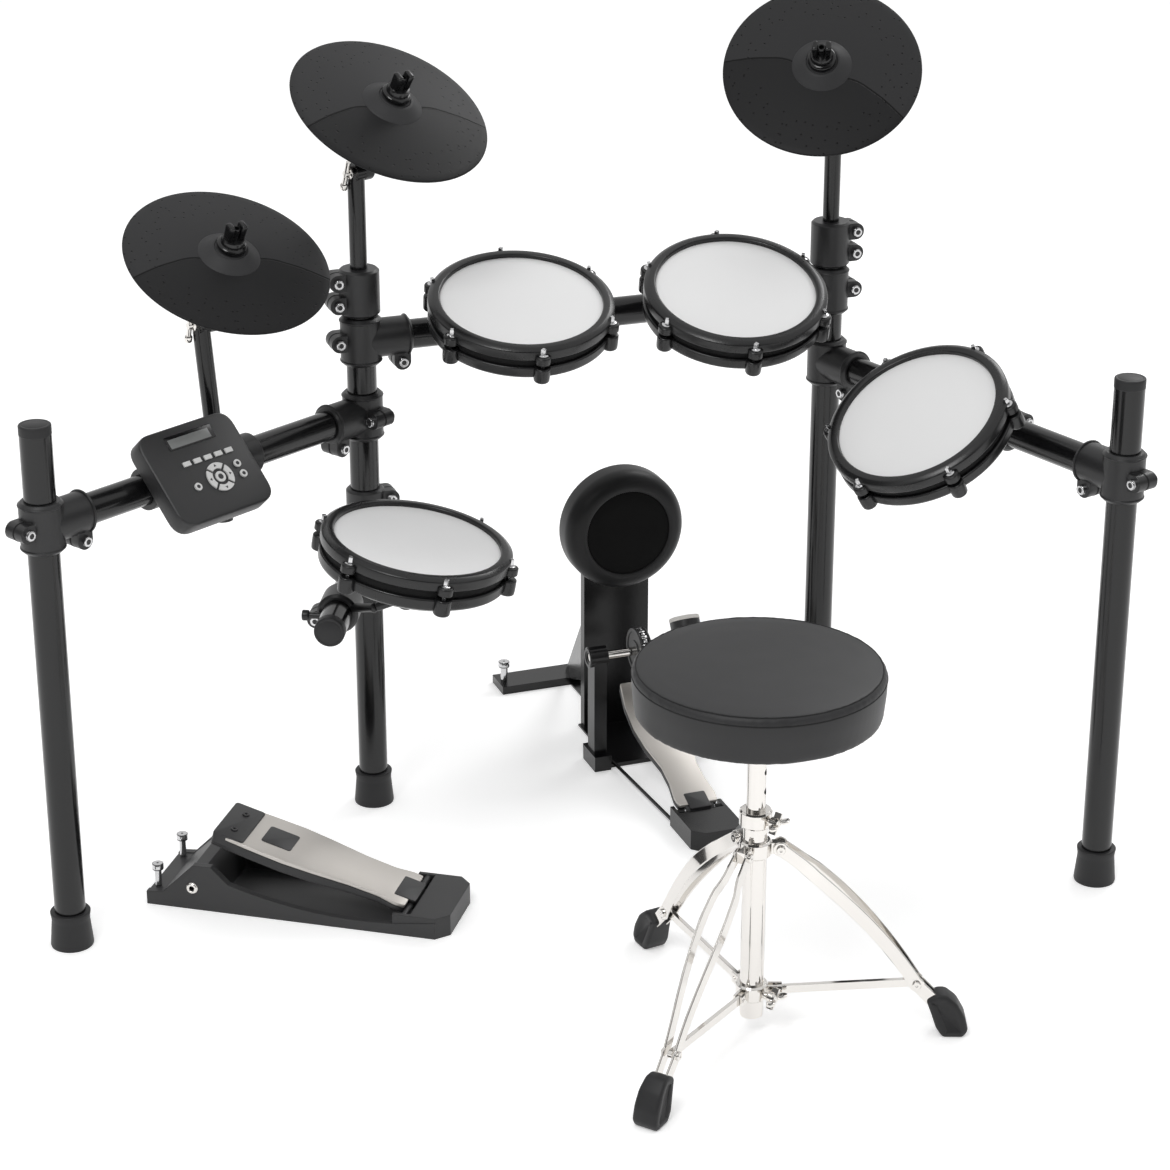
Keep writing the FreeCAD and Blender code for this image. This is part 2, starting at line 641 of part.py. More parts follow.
# Snare arm
arm_root = left_post + UP * float(dim("snare_arm_height"))
arm_end = arm_root + snare_way * float(dim("snare_arm_length") - dim("cap_height"))
node("snare_arm_tube", pipe("snare_arm_pipe", tube_radius, dim("tube_wall"),
                            arm_root + snare_way * float(dim("socket_floor") + clear_gap), arm_end))
node("snare_arm_fittings", group(
    "snare_arm_group",
    tee_clamp("snare_arm_clamp", arm_root, snare_way, UP.cross(snare_way)),
    pad_bracket("snare_bracket", pads["snare"], arm_root, snare_way, dim("snare_grip_back")),
    end_cap("snare_arm_cap", arm_end, snare_way),
))

for label, pad in pads.items():
    pad_shell(f"{label}_shell", pad)
    pad_hoop(f"{label}_hoop", pad)
    pad_head(f"{label}_head", pad)


class Cymbal:
    """A cymbal pad on its tilter: the pivot on the mast, the way it faces and the side its stem stands on."""

    def __init__(self, pivot, normal, side):
        self.pivot = pivot
        self.side = side
        self.face = Tilted(pivot, normal)
        offset = float(dim("tilter_width") + clear_gap) * side
        self.stem_base = pivot + self.face.axis * offset
        self.middle = self.stem_base + self.face.normal * float(dim("stem_length"))

    def place(self):
        return Placement(self.middle, self.face.rotation)


cymbals = {
    "hihat": Cymbal(mast_middle + mast_way * float((dim("hihat_pivot_height") - dim("side_tube_height"))),
                    Vector(0.143, -0.448, 0.882), 1),
    "crash": Cymbal(left_post + UP * float(dim("crash_pivot_height")), Vector(0.21, -0.476, 0.854), 1),
    "ride": Cymbal(right_post + UP * float(dim("ride_pivot_height")), Vector(-0.321, -0.623, 0.714), -1),
}


def cymbal_rod(name, cymbal, bottom):
    """A mast rod with a round eye at its top and the tilter's clamp bolt through the eye."""
    rod = rod_between(f"{name}_rod", rod_radius, bottom, cymbal.pivot)
    width = dim("tilter_width")
    axis = cymbal.face.axis * cymbal.side
    eye = centred_cylinder(f"{name}_eye", dim("tilter_radius"), width, cymbal.pivot, axis)
    bolt_start = cymbal.pivot - axis * float(width)
    bolt = cylinder(f"{name}_bolt", dim("pin_radius"), width * 3.2, bolt_start, axis)
    slot = centred_cylinder(f"{name}_slot", dim("tilter_radius") + clear_gap, width, cymbal.stem_base, axis)
    trimmed = cut(f"{name}_trimmed", rod, slot)
    return node(name, fuse(f"{name}_solid", trimmed, eye, bolt))


def cymbal_tilter(name, cymbal):
    """The tilter's eye with its stem, the seat under the bell, the ball it rocks on and the wing nut."""
    length = dim("stem_length")
    bell = dim("bell_height")
    gap = dim("felt_gap")
    under = bell - dim("cymbal_thickness") - gap
    over = bell + gap
    eye = centred_cylinder(f"{name}_eye", dim("tilter_radius"), dim("tilter_width"),
        point(0, 0, -length), ACROSS)
    stem = cylinder(f"{name}_stem", dim("stem_radius"), length / 2 + bell + 8, point(0, 0, length / -2 - 2))
    neck = cylinder(f"{name}_neck", dim("stem_radius") + 2, length / 2, point(0, 0, -length))
    seat_height = dim("felt_seat")
    seat = cylinder(f"{name}_seat", dim("felt_radius"), seat_height, point(0, 0, under - seat_height))
    ball = sphere(f"{name}_ball", dim("stem_ball"), point(0, 0, bell - dim("cymbal_thickness") / 2))
    felt = cylinder(f"{name}_felt", dim("felt_radius"), dim("felt_height"), point(0, 0, over))
    nut_base = over + dim("felt_height")
    nut = cylinder(f"{name}_nut", dim("nut_radius"), dim("nut_height"), point(0, 0, nut_base))
    wing_level = nut_base + dim("nut_height") - dim("wing_height") / 2 + 2
    wing = centred_box(f"{name}_wing", dim("nut_wing") * 2, dim("wing_thickness"), dim("wing_height"),
                       point(0, 0, wing_level))
    solid = fuse(f"{name}_solid", eye, stem, neck, seat, ball, felt, nut, wing)
    bore = centred_cylinder(f"{name}_bore", dim("pin_radius") + running_gap, dim("tilter_width") * 3,
                            point(0, 0, -length), ACROSS)
    return node(name, cut(f"{name}_cut", solid, bore), cymbal.place())


def cymbal_pad(name, cymbal):
    """The rubber cymbal: a shallow cone with a raised bell and a rounded edge."""
    edge = dim("cymbal_radius")
    thick = dim("cymbal_thickness")
    rise = dim("cymbal_rise")
    bell = dim("bell_radius")
    top = dim("bell_height")
    hole = dim("cymbal_hole")
    made = turned(f"{name}_turned", [(edge - 3, 0), (edge, thick / 2), (edge - 2, thick),
        (bell + 6, rise), (bell, rise + 2), (bell - 8, top - 2), (bell - 14, top), (hole, top),
        (hole, top - thick), (bell - 16, top - thick), (bell - 10, top - thick - 2),
        (bell - 3, rise - 3), (bell + 6, rise - thick), (edge - 8, 0)])
    return node(name, made, cymbal.place())


mast_bottom = cymbals["hihat"].pivot - mast_way * float(dim("hihat_rod_length"))
rear_bottom = UP * float(dim("rear_rod_bottom"))
rod_bottoms = {"hihat": mast_bottom, "crash": left_post + rear_bottom, "ride": right_post + rear_bottom}
for label, cymbal in cymbals.items():
    cymbal_rod(f"{label}_rod", cymbal, rod_bottoms[label])
    cymbal_tilter(f"{label}_tilter", cymbal)
    cymbal_pad(f"{label}_cymbal", cymbal)

# Sound module, tilted towards the drummer on two sleeves round the left side tube
module_grip = left_post + side_level + left_way * float(dim("module_at"))
module_out = UP.cross(left_way)
module_lean = math.radians(DIMENSIONS["module_tilt"])
module_normal = module_out * math.cos(module_lean) + UP * math.sin(module_lean)
module_rise = UP * math.cos(module_lean) - module_out * math.sin(module_lean)
module_turn = axes(left_way * -1, module_normal)
module_face = module_grip + module_normal * float(dim("module_reach"))
module_face += module_rise * float(dim("module_rise"))
module_place = Placement(module_face, module_turn)
key_row = [(DIMENSIONS["key_row_x"] + i * DIMENSIONS["key_pitch"], DIMENSIONS["key_row_y"]) for i in range(5)]
ring_middle = (DIMENSIONS["ring_x"], DIMENSIONS["ring_y"])
screen_middle = point(dim("screen_x"), dim("screen_y"), 0)
round_keys = ((-26.7, -22.3), (43.6, -10.4), (44.3, -25.0))


def key_pocket(name, x, y, radius=None, gap=0.0):
    """The space of a key: a rounded well in the face, or the key itself when there is no gap."""
    below = dim("key_height") - dim("key_proud")
    height = dim("key_height")
    if gap:
        below = below + dim("key_proud")
        height = height + dim("key_proud") * 2
    base = point(x, y, -below)
    if radius is not None:
        return cylinder(name, radius + gap, height, base)
    length = dim("key_width") + gap * 2
    width = dim("key_length") + gap * 2
    return box(name, length, width, height, base - point(length / 2, width / 2, 0))


def module_case():
    width = dim("module_width")
    depth = dim("module_depth")
    thick = dim("module_thickness")
    slab = centred_box("module_slab", width, depth, thick, point(0, 0, -thick / 2))
    rounded = doc.addObject("Part::Fillet", "module_rounded")
    rounded.Base = slab
    corner = DIMENSIONS["module_corner"]
    rounded.Edges = [(edge, corner, corner) for edge in (1, 3, 5, 7)]
    arms = []
    grip_at = point(0, -dim("module_rise"), -dim("module_reach"))
    for side in (-1, 1):
        at = grip_at + ACROSS * (side * float(dim("module_arm_spread")))
        arms.append(sleeve(f"module_sleeve_{side + 1}", dim("sleeve_radius"), dim("module_arm_width"),
            at, ACROSS))
        arms.append(centred_box(f"module_arm_{side + 1}", dim("module_arm_width") - 4,
            dim("sleeve_radius") * 1.6, dim("module_reach") - thick + 4,
            at + UP * (float(dim("module_reach") - thick) / 2)))
    solid = fuse("module_solid", rounded, *arms)
    gap = dim("key_side_gap")
    bore = centred_cylinder("module_bore", tube_radius + running_gap, width * 2, grip_at, ACROSS)
    window = centred_box("module_window", dim("screen_width") + 0.2, dim("screen_height") + 0.2,
                         dim("screen_depth") * 2, screen_middle)
    wells = [key_pocket(f"module_well_{i}", x, y, None, gap) for i, (x, y) in enumerate(key_row)]
    wells += [key_pocket(f"module_round_well_{i}", x, y, dim("round_key_radius"), gap)
              for i, (x, y) in enumerate(round_keys)]
    wells.append(key_pocket("module_ring_well", *ring_middle, dim("ring_radius"), gap))
    return node("module_case", cut("module_cut", solid, bore, window, *wells), module_place)


module_case()
glass_middle = module_face + module_turn.multVec(screen_middle - UP * (float(dim("screen_depth")) / 2))
node("module_screen", centred_box("module_glass", dim("screen_width"), dim("screen_height"),
                                  dim("screen_depth"), glass_middle, module_turn))
for i, (x, y) in enumerate(key_row, start=1):
    key = key_pocket(f"function_key_{i}_cap", x, y)
    node(f"function_key_{i}", group(f"function_key_{i}_group", key), module_place)


def ring_keys():
    """Four arc keys round a centre key, and the three round keys beside them."""
    outer = key_pocket("ring_outer", *ring_middle, dim("ring_radius"))
    inner = key_pocket("ring_inner", *ring_middle, dim("ring_radius") - dim("ring_width"), dim("running_gap"))
    bars = []
    for turn in (45, 135):
        bars.append(centred_box(f"ring_gap_{turn}", dim("ring_radius") * 3, dim("ring_split"),
                                dim("key_height") * 4, point(*ring_middle, 0), Rotation(UP, turn)))
    arcs = cut("ring_arcs", outer, inner, *bars)
    centre = key_pocket("ring_centre", *ring_middle, dim("centre_key_radius"))
    rounds = [key_pocket(f"round_key_{i}", x, y, dim("round_key_radius"))
              for i, (x, y) in enumerate(round_keys)]
    return node("ring_keys", group("ring_group", arcs, centre, *rounds), module_place)


ring_keys()

# Kick tower: folded sheet with side flanges, a floor plate, a cross bar on the floor, stays and spikes
kick_middle = spot(dim("kick_x"), 0, 0)
tower_width = dim("tower_width")
sheet_thickness = dim("sheet_thickness")
tower_front = dim("tower_front")


def tower_box(name, length, width, height, x, y, z):
    return centred_box(name, length, width, height, kick_middle + point(x, y, z))


def floor_spike(name, base, radius, height):
    """A screw that can be turned down into the floor covering, with its wider head."""
    shank = cylinder(name, radius, height, base)
    head = cylinder(f"{name}_head", radius + 3, dim("spike_head"), base + UP * float(height - 2))
    return [shank, head]


def kick_tower():
    height = dim("tower_height")
    flange = dim("tower_flange")
    half = float(tower_width - sheet_thickness) / 2
    front = float(tower_front)
    pieces = [tower_box("tower_face", tower_width, sheet_thickness, height, 0,
        front + float(sheet_thickness) / 2, float(height) / 2)]
    flange_back = tower_front + flange
    base_depth = flange_back - dim("tower_base_front")
    base_middle = float(flange_back + dim("tower_base_front")) / 2
    pieces.append(tower_box("tower_base", dim("tower_base_width"), base_depth, sheet_thickness, 0,
                            base_middle, float(sheet_thickness) / 2))
    strip_depth = dim("tower_base_back") - tower_front
    strip_middle = float(dim("tower_base_back") + tower_front) / 2
    pieces.append(tower_box("tower_strip", dim("floor_strip_width"), strip_depth, sheet_thickness, 0,
                            strip_middle, float(sheet_thickness) / 2))
    bar_y = float(dim("tower_base_back") - dim("floor_bar_width") / 2)
    bar_length = dim("floor_bar_length")
    bar_height = dim("floor_bar_height")
    pieces.append(tower_box("tower_floor_bar", bar_length, dim("floor_bar_width"), bar_height, 0, bar_y,
                            float(bar_height) / 2))
    stay_start = float(tower_front + sheet_thickness)
    stay_lean = math.degrees(math.atan2(half - float(dim("stay_half")), bar_y - stay_start))
    stay_length = (bar_y - stay_start) / math.cos(math.radians(stay_lean))
    for side in (-1, 1):
        pieces.append(tower_box(f"tower_flange_{side + 1}", sheet_thickness, flange, height, side * half,
                                front + float(flange) / 2, float(height) / 2))
        stay = plate(f"tower_stay_{side + 1}", [(0, dim("stay_rise")), (stay_length, 1),
                                                (stay_length, bar_height - 1), (0, dim("stay_top"))],
                     sheet_thickness, "YZ_Plane")
        stay_foot = kick_middle + point(side * half, stay_start, 0)
        pieces.append(placed(stay, stay_foot, Rotation(UP, side * stay_lean)))
        spike = kick_middle + point(side * (bar_length / 2 - dim("spike_inset")), bar_y, 2)
        pieces += floor_spike(f"tower_spike_{side + 1}", spike, dim("spike_radius"), dim("spike_height"))
    return node("kick_tower", fuse("kick_tower_solid", *pieces))


def kick_pad():
    radius = dim("kick_pad_radius")
    depth = dim("kick_pad_depth")
    disc = dim("kick_disc_radius")
    made = turned("kick_pad_turned", [(0, 0), (radius - 4, 0), (radius, 4), (radius, depth - 16),
        (radius - 5, depth - 5), (radius - 14, depth), (disc, depth - 2), (disc - 1, depth - 1),
        (0, depth - 1)])
    return node("kick_pad", made, Placement(kick_middle + point(0, tower_front, dim("kick_pad_height")),
                                            turn_to(AWAY * -1)))


kick_tower()
kick_pad()

# Kick pedal
pedal_middle = spot(dim("pedal_x"), 0, 0)
axle_line = pedal_middle + UP * float(dim("axle_height"))
heel_pin = pedal_middle + point(0, dim("heel_y"), dim("heel_pin_height"))
spring_reach = dim("upright_spread") + dim("boss_length") / 2 + dim("spring_out")
spring_base = pedal_middle + point(spring_reach, -dim("spring_back"), dim("spring_bottom"))


def heel_block(name, pin, half, length, height, way, pin_length):
    """A moulded heel block with two ears and the hinge pin that a footboard turns on."""
    across = way.cross(UP)
    front = float(dim("barrel_radius")) + 2
    ears = []
    ear_width = dim("heel_ear")
    floor_pin = Vector(pin.x, pin.y, 0)
    back = floor_pin - way * (front + float(length) / 2)
    corner = dim("heel_chamfer")
    rear = -length / 2
    block = plate(f"{name}_block", [(-half, length / 2), (-half, rear + corner), (corner - half, rear),
                                    (half - corner, rear), (half, rear + corner), (half, length / 2)], height)
    ears.append(placed(block, back + UP * (float(height) / 2), axes(across, UP)))
    for side in (-1, 1):
        at = floor_pin + across * (side * float(half - ear_width / 2)) - way * (front / 2 - 4)
        ears.append(centred_box(f"{name}_ear_{side + 1}", ear_width, front * 2 + 8, height,
                                at + UP * (float(height) / 2), axes(across, UP)))
    ears.append(centred_cylinder(f"{name}_pin", dim("pin_radius"), pin_length, pin, across))
    return ears


def pedal_frame():
    spread = float(dim("upright_spread"))
    solid = []
    for side in (-1, 1):
        at = pedal_middle + ACROSS * (side * spread)
        solid.append(centred_box(f"pedal_upright_{side + 1}", dim("upright_width"), dim("upright_depth"),
                                 dim("axle_height"), at + UP * (float(dim("axle_height")) / 2)))
        shoe = dim("shoe_height")
        solid.append(centred_box(f"pedal_shoe_{side + 1}", dim("upright_width") + 6,
                                 dim("upright_depth") + shoe, shoe, at + UP * (float(shoe) / 2)))
        solid.append(centred_cylinder(f"pedal_boss_{side + 1}", dim("boss_radius"), dim("boss_length"),
                                      at + UP * float(dim("axle_height")), ACROSS))
        level = dim("base_plate_height")
        rod_start = pedal_middle + point(side * dim("frame_rod_spread"), 0, level)
        rod_end = pedal_middle + point(side * (dim("heel_half") - 6), dim("heel_y") - 20, level)
        solid.append(rod_between(f"pedal_rod_{side + 1}", dim("frame_rod_radius"), rod_start, rod_end))
    solid.append(centred_box("pedal_spring_anchor", 32, 16, 8, spring_base - point(6, 0, 5.5)))
    plate_depth = dim("base_plate_depth")
    solid.append(centred_box("pedal_base", dim("upright_spread") * 2, plate_depth, dim("base_plate_height"),
                             pedal_middle + point(0, plate_depth / 2 - 18, dim("base_plate_height") / 2)))
    solid += heel_block("pedal_heel", heel_pin, dim("heel_half"), dim("heel_length"), dim("heel_height"),
                        AWAY, dim("heel_half") * 2)
    bore = centred_cylinder("pedal_axle_bore", dim("axle_radius") + running_gap, dim("upright_spread") * 6,
                            axle_line, ACROSS)
    return node("kick_pedal_frame", cut("pedal_frame_cut", fuse("pedal_frame_solid", *solid), bore))


def kick_axle():
    axle_length = dim("upright_spread") * 2 + dim("boss_length") + dim("axle_tail")
    axle_middle = axle_line + ACROSS * float(dim("axle_tail") / 2)
    axle = centred_cylinder("axle_bar", dim("axle_radius"), axle_length, axle_middle, ACROSS)
    cam = centred_cylinder("axle_cam", dim("cam_radius"), dim("cam_width"), axle_line, ACROSS)
    hub = centred_cylinder("axle_hub", dim("hub_radius"), dim("hub_width"), beater_root, ACROSS)
    lever_at = axle_middle + ACROSS * float(axle_length / 2 - 4)
    lever = centred_box("axle_lever", 6, dim("lever_reach"), 10, lever_at + AWAY * -12)
    return node("kick_axle", fuse("kick_axle_solid", axle, cam, hub, lever))


beater_root = axle_line + ACROSS * float(dim("beater_offset"))
beater_lean = math.radians(DIMENSIONS["beater_back"])
beater_way = Vector(0, -math.sin(beater_lean), math.cos(beater_lean))
strike_way = Vector(0, math.cos(beater_lean), math.sin(beater_lean))


def kick_beater():
    start = beater_root + beater_way * float(dim("hub_radius") + clear_gap / 2)
    head_middle = beater_root + beater_way * float(dim("beater_reach"))
    rod = rod_between("beater_rod", dim("beater_rod_radius"), start, head_middle)
    head = centred_cylinder("beater_head", dim("beater_radius"), dim("beater_length"), head_middle,
                            strike_way)
    return node("kick_beater", fuse("kick_beater_solid", rod, head))


def footboard(name, pin, way, angle, length, halves, tongue):
    """A footboard hinged at its heel: a waisted plate, a barrel round the hinge pin and a rib below."""
    rise = Rotation(way.cross(UP), float(angle))
    slope = rise.multVec(way)
    lift = rise.multVec(UP)
    across = way.cross(UP)
    heel_half, mid_half, toe_half = halves
    thick = dim("board_thickness")
    waist = length * 0.55
    board = plate(f"{name}_board", [(-heel_half, 4), (heel_half, 4), (mid_half, waist), (toe_half, length),
                                    (-toe_half, length), (-mid_half, waist)], thick)
    placed(board, pin + lift * float(dim("board_lift")), axes(across, lift))
    barrel = centred_cylinder(f"{name}_barrel", dim("barrel_radius"), tongue, pin, across)
    rib = centred_box(f"{name}_rib", heel_half, length * 0.7, dim("board_rib"),
                      pin + slope * (float(length) * 0.4) + lift * 2, axes(across, lift))
    bore = centred_cylinder(f"{name}_bore", dim("pin_radius") + running_gap, tongue * 2, pin, across)
    return node(name, cut(f"{name}_cut", fuse(f"{name}_solid", board, barrel, rib), bore))


pedal_frame()
kick_axle()
kick_beater()
footboard("kick_footboard", heel_pin, AWAY, dim("board_angle"), dim("board_length"),
          (dim("board_heel_half"), dim("board_mid_half"), dim("board_toe_half")), dim("barrel_length"))


def coil_spring(name, base):
    """A pull spring: one unbroken wire of quarter-turn arcs round the spring's axis."""
    radius = DIMENSIONS["spring_radius"]
    turns = int(DIMENSIONS["spring_turns"])
    length = DIMENSIONS["spring_length"]
    wire = DIMENSIONS["spring_wire"]
    steps = turns * 4

    def on_helix(quarter):
        angle = math.pi / 2 * quarter
        return base + Vector(radius * math.cos(angle), radius * math.sin(angle), length * quarter / steps)

    edges = [Part.Arc(on_helix(q), on_helix(q + 0.5), on_helix(q + 1)).toShape() for q in range(steps)]
    start = on_helix(0)
    heading_in = edges[0].tangentAt(edges[0].FirstParameter)
    section = Part.Wire(Part.makeCircle(wire, start, heading_in))
    line = Part.Wire(edges)
    shape = line.makePipeShell([section], True, False)
    per_turn = 40
    spots = line.discretize(Number=turns * per_turn + 1)
    apart = min((spots[j] - p).Length for i, p in enumerate(spots)
                for j in range(i + per_turn // 2, len(spots)))
    print(f"{name}: least gap between turns {apart - 2 * wire:.2f} mm, measured on {len(spots)} points")
    made = doc.addObject("Part::Feature", name)
    made.Shape = shape
    return node(name, made)


coil_spring("kick_spring", spring_base)

# Hi-hat controller pedal
controller_way = heading(dim("controller_angle"))
controller_across = controller_way.cross(UP)
controller_heel = spot(dim("controller_x"), dim("controller_y"), 0)
controller_pin = controller_heel + controller_way * float(dim("controller_pin_at"))
controller_pin += UP * float(dim("controller_pin_height"))


def controller_base():
    """A moulded wedge: scooped side walls on a floor, a sloping toe block and a heel block."""
    length = dim("controller_length")
    width = dim("controller_width")
    wall = dim("controller_wall")
    floor = dim("controller_floor")
    height = dim("controller_height")
    turn = axes(controller_way, controller_across)
    parts = []
    start = dim("heel_chamfer")
    for side in (-1, 1):
        wall_plate = plate(f"controller_wall_{side + 1}",
                           [(start, 0), (length, 0), (length, 18), (length - 22, 20), (length - 64, height),
                            (length - 88, height), (length - 110, height - 22), (70, 15), (start, 22)],
                           wall, "XY_Plane", {6: ((length - 200, 24), dim("controller_scoop"))})
        at = controller_heel + controller_across * (side * float(width - wall) / 2)
        parts.append(placed(wall_plate, at, turn))
    middle = controller_heel + controller_way * (float(length + start) / 2)
    parts.append(centred_box("controller_floor_plate", length - start, width - wall, floor,
                             middle + UP * (float(floor) / 2), axes(controller_way, UP)))
    toe = plate("controller_toe", [(length - 94, 1), (length - 1, 1), (length - 1, 17), (length - 22, 19),
                                   (length - 64, height - 2), (length - 80, height - 2)], width - wall)
    parts.append(placed(toe, controller_heel, turn))
    front_heel = controller_heel + controller_way * float(dim("controller_pin_at"))
    reach = dim("controller_pin_at") - dim("barrel_radius") - 2
    parts += heel_block("controller_heel_block", front_heel + UP * float(dim("controller_pin_height")),
                        width / 2 - 1, reach, dim("heel_height"), controller_way, width - 8)
    for side in (-1, 1):
        at = controller_heel + controller_way * float(length - dim("spike_inset"))
        at += controller_across * (side * float(dim("controller_spike_spread"))) + UP * 2
        parts += floor_spike(f"controller_spike_{side + 1}", at, dim("spike_radius") - 1,
                             dim("controller_spike_height"))
    jack_out = controller_across * -1
    jack_at = controller_heel + controller_way * float(length - dim("jack_from_toe"))
    jack_at += UP * float(dim("jack_height")) + jack_out * float(width / 2 + dim("jack_proud"))
    ring = dim("jack_proud") + 1
    parts.append(cylinder("controller_jack_ring", dim("jack_radius") + dim("jack_ring"), ring,
                          jack_at - jack_out * float(ring), jack_out))
    bore = cylinder("controller_jack_bore", dim("jack_radius"), dim("jack_depth"),
                    jack_at - jack_out * float(dim("jack_depth")), jack_out)
    return node("hihat_base", cut("controller_cut", fuse("controller_solid", *parts), bore))


controller_base()
footboard("hihat_footboard", controller_pin, controller_way, dim("controller_board_angle"),
          dim("controller_board_length"),
          (dim("controller_heel_half"), dim("controller_board_half"), dim("controller_board_half") - 4),
          dim("barrel_length"))

# Throne
throne_middle = spot(dim("throne_x"), dim("throne_y"), 0)
leg_angles = [DIMENSIONS["leg_first_angle"] + 120 * step for step in range(3)]
seat_base = dim("seat_base_height")


def wing_bolt(name, reach, level):
    way = heading(dim("wing_bolt_angle"))
    at = throne_middle + way * float(reach) + UP * float(level)
    length = dim("wing_bolt_length")
    shank = cylinder(f"{name}_shank", dim("pin_radius"), length, at, way)
    wing = centred_box(f"{name}_wing", 3, 26, 9, at + way * float(length), turn_to(way))
    return [shank, wing]


def collar(name, level):
    half = dim("collar_height") / 2
    radius = dim("collar_radius")
    return placed(turned(name, [(0, -half), (radius - 2, -half), (radius, -half + 2), (radius, half - 2),
                                (radius - 2, half), (0, half)]), throne_middle + UP * float(level))


def tripod_tube():
    """The stand's outer tube with its clamp collar, wing bolt and the fixed collar that the legs hang on."""
    height = dim("stand_top") - dim("stand_bottom")
    base = throne_middle + UP * float(dim("stand_bottom"))
    tube = cylinder("stand_outer", dim("stand_radius"), height, base)
    top = collar("stand_clamp", dim("stand_top") - dim("collar_height") / 2)
    hub = collar("stand_hub", dim("leg_pivot_height"))
    solid = [tube, top, hub]
    solid += wing_bolt("stand_wing", dim("stand_radius"), dim("stand_top") - dim("collar_height") / 2)
    for i, angle in enumerate(leg_angles):
        way = heading(angle)
        across = way.cross(UP)
        pivot = throne_middle + way * float(dim("leg_pivot_reach")) + UP * float(dim("leg_pivot_height"))
        web = dim("leg_gap") - clear_gap * 2
        inner = throne_middle + way * float(dim("stand_radius")) + UP * float(dim("leg_pivot_height"))
        solid.append(centred_box(f"stand_ear_{i}", 26, web, 14, (pivot + inner) / 2, axes(way, UP)))
        solid.append(centred_cylinder(f"stand_pin_{i}", dim("leg_pin_radius"),
                                      dim("leg_gap") + dim("leg_strap") * 2 + 3, pivot, across))
    bore = cylinder("stand_bore", dim("seat_post_radius") + running_gap, dim("stand_top") * 2, throne_middle)
    return node("tripod_tube", cut("tripod_tube_cut", fuse("tripod_tube_solid", *solid), bore))


def leg(name, angle):
    """A leg of two flat arched straps that meet in a rubber boot on the floor."""
    way = heading(angle)
    across = way.cross(UP)
    turn = axes(way, across)
    pivot = (dim("leg_pivot_reach"), dim("leg_pivot_height"))
    joint = (dim("leg_joint_reach"), dim("leg_joint_height"))
    half = dim("leg_depth") / 2
    slant = half * 0.7
    toe = dim("leg_foot_reach")
    outer = [(pivot[0] - slant, pivot[1] - slant), (joint[0] - slant, joint[1] - slant), (toe - 16, 22),
             (toe - 4, 34), (joint[0] + slant, joint[1] + slant), (pivot[0] + slant, pivot[1] + slant)]
    middle = point((pivot[0] + joint[0]) / 2, (pivot[1] + joint[1]) / 2, 0)
    bulge = Vector(0.72, 0.69, 0)
    sag = DIMENSIONS["leg_sag"]
    chord = math.hypot(float(joint[0] - pivot[0]), float(joint[1] - pivot[1]))
    arch = (chord / 2) ** 2 / (2 * sag) + sag / 2
    low = middle - Vector(float(slant), float(slant), 0) + bulge * sag
    high = middle + Vector(float(slant), float(slant), 0) + bulge * sag
    straps = []
    reach = float(dim("leg_gap") + dim("leg_strap")) / 2
    for side in (-1, 1):
        strap = plate(f"{name}_strap_{side + 1}", outer, dim("leg_strap"), "XY_Plane",
                      {0: ((low.x, low.y), arch), 4: ((high.x, high.y), arch)})
        straps.append(placed(strap, throne_middle + across * (side * reach), turn))
    boot = plate(f"{name}_boot", [(toe - 30, 40), (toe - 23, 16), (toe - 12, 0), (toe + 12, 0),
                                  (toe + 17.5, 9), (toe + 5, 44), (toe - 8, 55), (toe - 19, 54)],
                 dim("boot_width"))
    placed(boot, throne_middle, turn)
    at = throne_middle + way * float(pivot[0]) + UP * float(pivot[1])
    bore = centred_cylinder(f"{name}_bore", dim("leg_pin_radius") + running_gap, dim("boot_width") * 2,
                            at, across)
    return node(name, cut(f"{name}_cut", fuse(f"{name}_solid", *straps, boot), bore))


def brace_collar():
    """The sliding collar that the braces hang on, with its wing bolt."""
    level = dim("brace_pivot_height")
    solid = [collar("brace_ring", level)]
    solid += wing_bolt("brace_wing", dim("collar_radius") - 2, level - 2)
    for i, angle in enumerate(leg_angles):
        way = heading(angle)
        across = way.cross(UP)
        pivot = throne_middle + way * float(dim("brace_pivot_reach")) + UP * float(level)
        cheek = dim("brace_ear")
        reach = float(dim("brace_thickness") / 2 + clear_gap + cheek / 2)
        for side in (-1, 1):
            solid.append(centred_box(f"brace_ear_{i}_{side + 1}", 20, cheek, 13,
                                     pivot - way * 5 + across * (side * reach), axes(way, UP)))
        solid.append(centred_cylinder(f"brace_pin_{i}", dim("brace_pin_radius"), reach * 2 + 5, pivot,
                                      across))
    bore = cylinder("brace_bore", dim("stand_radius") + running_gap, level * 2, throne_middle)
    return node("brace_collar", cut("brace_collar_cut", fuse("brace_collar_solid", *solid), bore))


def brace(name, angle):
    way = heading(angle)
    across = way.cross(UP)
    start = Vector(float(dim("brace_pivot_reach")), float(dim("brace_pivot_height")), 0)
    end = Vector(float(dim("leg_joint_reach")), float(dim("leg_joint_height")), 0)
    along = end - start
    side_turn = axes(way, across)
    middle = throne_middle + side_turn.multVec((start + end) / 2)
    slope = side_turn.multVec(along)
    slope.normalize()
    bar = centred_box(f"{name}_bar", along.Length, dim("brace_thickness"), dim("brace_depth"), middle,
                      axes(slope, slope.cross(across) * -1))
    ends = [centred_cylinder(f"{name}_end_{i}", dim("brace_depth") / 2, dim("brace_thickness"),
        throne_middle + side_turn.multVec(at), across) for i, at in enumerate((start, end))]
    bore = centred_cylinder(f"{name}_bore", dim("brace_pin_radius") + running_gap, dim("boot_width"),
                            throne_middle + side_turn.multVec(start), across)
    return node(name, cut(f"{name}_cut", fuse(f"{name}_solid", bar, *ends), bore))


